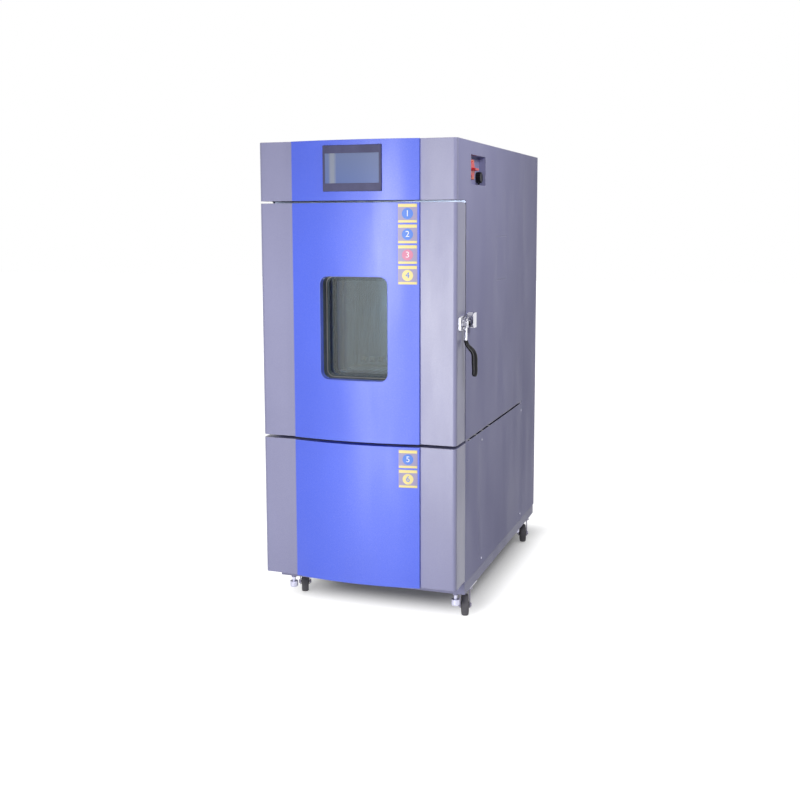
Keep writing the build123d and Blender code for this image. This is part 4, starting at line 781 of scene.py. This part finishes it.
def polished(name, colour, roughness):
    """Polished chrome plate with faint smears and hairline scratches."""
    material, surface, place = finish(name)
    smear = grain(material, place, 40.0, 5.0)
    hair = grain(material, place, 1500.0, 2.0, (0.03, 1, 1), 0.7)
    surface.inputs["Base Color"].default_value = colour
    surface.inputs["Metallic"].default_value = 1.0
    gloss = between(material, smear, roughness, roughness + 0.10, 0.45, 0.8)
    join(material, gloss, surface, "Roughness")
    rounded = shade(material, "Bevel", {"Radius": 0.0008}, samples=4).outputs["Normal"]
    join(material, relief(material, hair, 0.04, 0.0001, rounded), surface, "Normal")
    return material


# Hinges, latch and keeper: chrome-plated castings and pressings, screwed on through their
# flanges. The lever's grip is moulded over it in black.
chrome = polished("chrome_plate", (0.58, 0.58, 0.64, 1), 0.09)
dress(chrome, "hinge_body_leaves", "hinge_door_leaves", "latch_base", "latch_lever")
dress(chrome, "keeper_bracket", "keeper_roller", "data_socket")
black_moulding = moulded("black_moulding", (0.006, 0.006, 0.008, 1), 0.34, 1200.0, 0.12)
black_surface = black_moulding.node_tree.nodes["Principled BSDF"]
black_surface.inputs["Specular IOR Level"].default_value = 0.22
dress(black_moulding, "latch_grip", "socket_cap")

# Screws of the hinge leaves: four chrome-plated screws in each leaf, two above and two below
# the hinge's middle.
hinge_levels = (0.720, 1.318)
hinge_screw_rise = 0.030
hinge_screw_insets = (0.011, 0.034)
hinge_screw_radius_mm = 3.8
leaf_thick = 0.003


def hinge_screws(name, leaf_edge, leaf_face, inwards, seed, body):
    """Screws of one leaf of both hinges: inwards is the way from its edge to its screws."""
    places = []
    for middle in hinge_levels:
        for z in (middle - hinge_screw_rise, middle + hinge_screw_rise):
            places += [(leaf_face, leaf_edge + inwards * inset, z) for inset in hinge_screw_insets]
    grown(
        name,
        fastener_rows,
        places,
        [(-1, 0, 0)] * len(places),
        {"Head": screw_head, "Size": hinge_screw_radius_mm, "Seed": seed, "Coat": chrome},
        body,
    )


body_leaf_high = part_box("hinge_body_leaves")[1]
door_leaf_low, door_leaf_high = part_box("hinge_door_leaves")
hinge_screws("hinge_body_screws", body_leaf_high.y, body_leaf_high.x - leaf_thick, -1, 2, "cabinet")
hinge_screws("hinge_door_screws", door_leaf_low.y, door_leaf_high.x - leaf_thick, 1, 4, "door")

# Window collar: blue-coated lip of the front panel, folded back round the window opening.
# The glazing lip behind it is a pale sealing strip that holds the outer pane.
front_low, front_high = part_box("door_front_panel")
bow_rise = 0.021
bow_radius = (front_high.x**2 + bow_rise**2) / (2 * bow_rise)
window_middle = 1.001
window_width, window_height, window_corner = 0.232, 0.336, 0.027
collar_wall = 0.0009
collar_proud = 0.0002
collar_back = -0.5605
pane_front = -0.5577
lip_width = 0.0040


def bow_at(x):
    """Depth of the bowed front at x."""
    return front_low.y + bow_radius - math.sqrt(bow_radius**2 - x * x)


def rounded_outline(width, height, corner, steps=10):
    """Corner-rounded outline round the window's middle, as x and z."""
    outline = []
    for quarter, (side, level) in enumerate(((1, 1), (-1, 1), (-1, -1), (1, -1))):
        for step in range(steps + 1):
            angle = math.pi / 2 * (quarter + step / steps)
            x = side * (width / 2 - corner) + corner * math.cos(angle)
            z = window_middle + level * (height / 2 - corner) + corner * math.sin(angle)
            outline.append((x, z))
    return outline


def window_ring(shape, grow_outer, grow_inner, front, back):
    """Closed ring between two window outlines, from front(x) to back."""
    loops = []
    for grow in (grow_outer, grow_inner):
        width, height = window_width + 2 * grow, window_height + 2 * grow
        outline = rounded_outline(width, height, window_corner + grow)
        loops.append([shape.verts.new((x, front(x), z)) for x, z in outline])
        loops.append([shape.verts.new((x, back, z)) for x, z in outline])
    outer_front, outer_back, inner_front, inner_back = loops
    wall(shape, outer_front, outer_back)
    wall(shape, outer_back, inner_back)
    wall(shape, inner_back, inner_front)
    wall(shape, inner_front, outer_front)


collar = bmesh.new()
window_ring(collar, collar_proud, -collar_wall, lambda x: bow_at(x) - collar_proud, collar_back)
finished("window_collar", collar, (blue_coat,), "door", 40.0)
lip_grey = moulded("lip_grey", (0.24, 0.235, 0.23, 1), 0.5, 500.0, 0.10)
lip = bmesh.new()
window_ring(lip, -collar_wall, -collar_wall - lip_width, lambda x: collar_back, pane_front)
finished("glazing_lip", lip, (lip_grey,), "door", 40.0)

# Number plates: printed foil plates stuck on the right edge of the bowed panels, four on the
# door and two on the base, each with two yellow bars and a numbered disc midway between them.
plate_width, plate_height, plate_pitch = 0.061, 0.060, 0.0645
plate_middle_x = 0.1805
top_bar_height = 0.0095
low_bar_height = 0.75 * top_bar_height
bar_inset = 0.0012
disc_radius = 0.0175
number_height = 0.027
plate_lift, bar_lift, disc_lift, number_lift = 0.0006, 0.0008, 0.0009, 0.0011
strip_thick, disc_thick, number_thick = 0.0005, 0.0004, 0.0001
door_plate_drop, base_plate_drop = 0.004, 0.008


def foil(name, colour):
    """Printed satin foil with a slight print grain."""
    material, surface, place = finish(name)
    dots = grain(material, place, 1200.0, 2.0)
    base = tint(material, between(material, dots, 0.0, 1.0), colour, toned(colour, 1.12))
    join(material, base, surface, "Base Color")
    join(material, between(material, dots, 0.30, 0.42), surface, "Roughness")
    return material


plate_foil = foil("plate_foil", (0.33, 0.29, 0.47, 1))
bar_foil = foil("bar_foil", (0.84, 0.70, 0.27, 1))
blue_foil = foil("blue_foil", (0.06, 0.20, 0.72, 1))
rose_foil = foil("rose_foil", (0.66, 0.20, 0.34, 1))
number_foil = foil("number_foil", (0.86, 0.86, 0.90, 1))
plate_coats = (plate_foil, bar_foil, blue_foil, rose_foil, number_foil)
ground, yellow, blue, rose, pale = range(len(plate_coats))


def bowed_strip(shape, left, right, low, high, lift, index, columns=10):
    """Thin closed strip that follows the bow, lift in front of it."""
    rows = []
    for column in range(columns + 1):
        x = left + (right - left) * column / columns
        face = bow_at(x) - lift
        back = face + strip_thick
        section = ((face, low), (face, high), (back, high), (back, low))
        rows.append([shape.verts.new((x, y, z)) for y, z in section])
    for here, beyond in zip(rows, rows[1:]):
        wall(shape, here, beyond, index)
    shape.faces.new(rows[0]).material_index = index
    shape.faces.new(rows[-1][::-1]).material_index = index


def bowed_disc(shape, centre, level, radius, lift, index, sides=48):
    """Thin closed disc that follows the bow."""
    spokes = [math.tau * side / sides for side in range(sides)]
    outline = [(centre + radius * math.cos(a), level + radius * math.sin(a)) for a in spokes]
    loops = []
    for depth in (lift, lift - disc_thick):
        loop = [shape.verts.new((x, bow_at(x) - depth, z)) for x, z in outline]
        middle = shape.verts.new((centre, bow_at(centre) - depth, level))
        for here, beyond in zip(loop, loop[1:] + loop[:1]):
            shape.faces.new((middle, here, beyond)).material_index = index
        loops.append(loop)
    wall(shape, loops[0], loops[1], index)


def bowed_number(shape, number, centre, level, height, lift, index):
    """Raised number that follows the bow."""
    text = bpy.data.curves.new("number", "FONT")
    text.body = number
    text.size = height
    text.align_x = "CENTER"
    text.align_y = "CENTER"
    text.extrude = number_thick
    holder = bpy.data.objects.new("number_holder", text)
    bpy.context.scene.collection.objects.link(holder)
    glyph = plain_mesh(holder)
    first_face = len(shape.faces)
    first_vert = len(shape.verts)
    shape.from_mesh(glyph)
    shape.verts.ensure_lookup_table()
    shape.faces.ensure_lookup_table()
    for vert in shape.verts[first_vert:]:
        x, up, out = vert.co
        vert.co = (centre + x, bow_at(centre + x) - lift - out, level + up)
    for face in shape.faces[first_face:]:
        face.material_index = index


def number_plates(name, body, top, discs, first):
    """Column of plates that starts under top, one for each disc colour."""
    shape = bmesh.new()
    left, right = plate_middle_x - plate_width / 2, plate_middle_x + plate_width / 2
    bar_left, bar_right = left + bar_inset, right - bar_inset
    for place, disc in enumerate(discs):
        high = top - place * plate_pitch
        low = high - plate_height
        bowed_strip(shape, left, right, low, high, plate_lift, ground)
        for bar_low, bar_high in (
            (high - bar_inset - top_bar_height, high - bar_inset),
            (low + bar_inset, low + bar_inset + low_bar_height),
        ):
            bowed_strip(shape, bar_left, bar_right, bar_low, bar_high, bar_lift, yellow)
        middle = (low + high) / 2 - (top_bar_height - low_bar_height) / 2
        bowed_disc(shape, plate_middle_x, middle, disc_radius, disc_lift, disc)
        ink = blue if disc == yellow else pale
        number = str(first + place)
        bowed_number(shape, number, plate_middle_x, middle, number_height, number_lift, ink)
    finished(name, shape, plate_coats, body, 30.0)


door_plates_top = front_high.z - door_plate_drop
base_plates_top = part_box("base_front_panel")[1].z - base_plate_drop
number_plates("door_number_plates", "door", door_plates_top, (blue, blue, rose, yellow), 1)
number_plates("base_number_plates", "cabinet", base_plates_top, (blue, yellow), 5)

# Door seal and port plug: grey silicone, the seal pressed into its groove round the door's
# inner panel and the plug pushed into the test port.
silicone = moulded("grey_silicone", (0.20, 0.20, 0.22, 1), 0.58, 300.0, 0.12)
dress(silicone, "door_gasket", "test_port_plug")

# Window: three toughened panes, each on a ledge of the dark sleeve that goes through the
# door. Light of the lamps passes the panes straight.
sleeve = moulded("sleeve_trim", (0.060, 0.075, 0.095, 1), 0.40, 800.0, 0.08)
dress(sleeve, "window_frame")
glass, glass_surface, glass_place = finish("pane_glass")
glass_surface.inputs["Base Color"].default_value = (0.90, 0.955, 0.965, 1)
glass_surface.inputs["Transmission Weight"].default_value = 1.0
glass_surface.inputs["Roughness"].default_value = 0.0
glass_surface.inputs["IOR"].default_value = 1.45
glass_wave = grain(glass, glass_place, 3.0, 1.0)
join(glass, relief(glass, glass_wave, 0.03, 0.002), glass_surface, "Normal")
lamp_ray = shade(glass, "LightPath", {}).outputs["Is Shadow Ray"]
clear = shade(glass, "BsdfTransparent", {"Color": (0.90, 0.95, 0.96, 1)})
passing = shade(glass, "MixShader", {0: lamp_ray, 1: glass_surface.outputs[0], 2: clear.outputs[0]})
glass_output = glass.node_tree.nodes["Material Output"]
glass.node_tree.links.new(passing.outputs[0], glass_output.inputs["Surface"])
dress(glass, "window_panes")

# Touchscreen: moulded bezel clipped into the head panel, round a dim display behind
# hard-coated glass, with a painted reflection as a pale band down its left side.
bezel_grey = moulded("bezel_grey", (0.022, 0.022, 0.085, 1), 0.48, 900.0, 0.10)
dress(bezel_grey, "touchscreen_bezel")
display, display_surface, display_place = finish("display_glass")
screen_low, screen_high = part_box("touchscreen_glass")
rise_start, rise_end, fall_start, fall_end = (screen_low.x + at for at in (0.012, 0.020, 0.030, 0.040))
along = shade(display, "SeparateXYZ", {"Vector": display_place})
rise = between(display, along.outputs["X"], 0.0, 1.0, rise_start, rise_end)
fall = between(display, along.outputs["X"], 1.0, 0.0, fall_start, fall_end)
# Painted reflection: a pale vertical band near the display's left edge.
painted_reflection_band = shade(display, "Math", {0: rise, 1: fall}, operation="MULTIPLY").outputs[0]
drop = between(display, along.outputs["Z"], 0.0, 1.0, screen_low.z, screen_high.z)
base = tint(display, drop, (0.090, 0.145, 0.38, 1), (0.12, 0.165, 0.34, 1))
join(display, tint(display, painted_reflection_band, base, (0.24, 0.27, 0.36, 1)), display_surface, "Base Color")
display_surface.inputs["Roughness"].default_value = 0.22
display_surface.inputs["Coat Weight"].default_value = 0.5
dress(display, "touchscreen_glass")

# Main switch: orange moulded surround on its plate, and a red dial with a grip bar that turns
# in it. Profiles are (radius, distance out from the plate).
orange = moulded("switch_orange", (0.90, 0.13, 0.035, 1), 0.34, 1000.0, 0.08)
dress(orange, "switch_plate")
red = moulded("switch_red", (0.72, 0.012, 0.022, 1), 0.34, 1000.0, 0.06)
knob_low, knob_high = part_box("switch_knob")
switch_pivot = Vector(joints["main_switch_turn"]["pos_m"])
switch_pivot.x = knob_low.x
knob_radius = (knob_high.z - knob_low.z) / 2
dial_radius = knob_radius - 0.0055
dial_gap = 0.0004
dial_thick = 0.0112
dial_chamfer = 0.0012
surround_thick = 0.0058
surround_chamfer_in = 0.0014
surround_bore = dial_radius + dial_gap
surround_profile = [
    (surround_bore, 0.0),
    (knob_radius, 0.0),
    (knob_radius, surround_thick - dial_chamfer),
    (knob_radius - surround_chamfer_in, surround_thick),
    (surround_bore, surround_thick),
]
surround = bmesh.new()
turned(surround, surround_profile, switch_pivot, (1, 0, 0), 96)
finished("switch_surround", surround, (orange,), "cabinet", 40.0)
dial_profile = [
    (0.0, dial_gap),
    (dial_radius, dial_gap),
    (dial_radius, dial_thick - dial_chamfer),
    (dial_radius - dial_chamfer, dial_thick),
    (0.0, dial_thick),
]
dial = bmesh.new()
turned(dial, dial_profile, switch_pivot, (1, 0, 0), 96)
bar_reach = dial_radius - dial_chamfer
bar_half = 0.0050
bar_steps = 12
bar_height = knob_high.x - knob_low.x
bar_levels = ((dial_thick - 0.001, 1.0), (0.0145, 0.96), (0.0170, 0.86), (bar_height, 0.66))
bar_loops = []
for out, part in bar_levels:
    round_end = bar_half * part
    end_middle = bar_reach * (0.9 + 0.1 * part) - bar_half
    loop = []
    for way in (1, -1):
        for step in range(bar_steps + 1):
            angle = math.pi * step / bar_steps
            across = way * round_end * math.cos(angle)
            along_bar = way * (end_middle + round_end * math.sin(angle))
            loop.append(dial.verts.new(switch_pivot + Vector((out, along_bar, across))))
    bar_loops.append(loop)
for lower, upper in zip(bar_loops, bar_loops[1:]):
    wall(dial, lower, upper)
dial.faces.new(bar_loops[0][::-1])
dial.faces.new(bar_loops[-1])
knob = finished("switch_dial", dial, (red,), "main_switch", 30.0)
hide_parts("switch_knob")
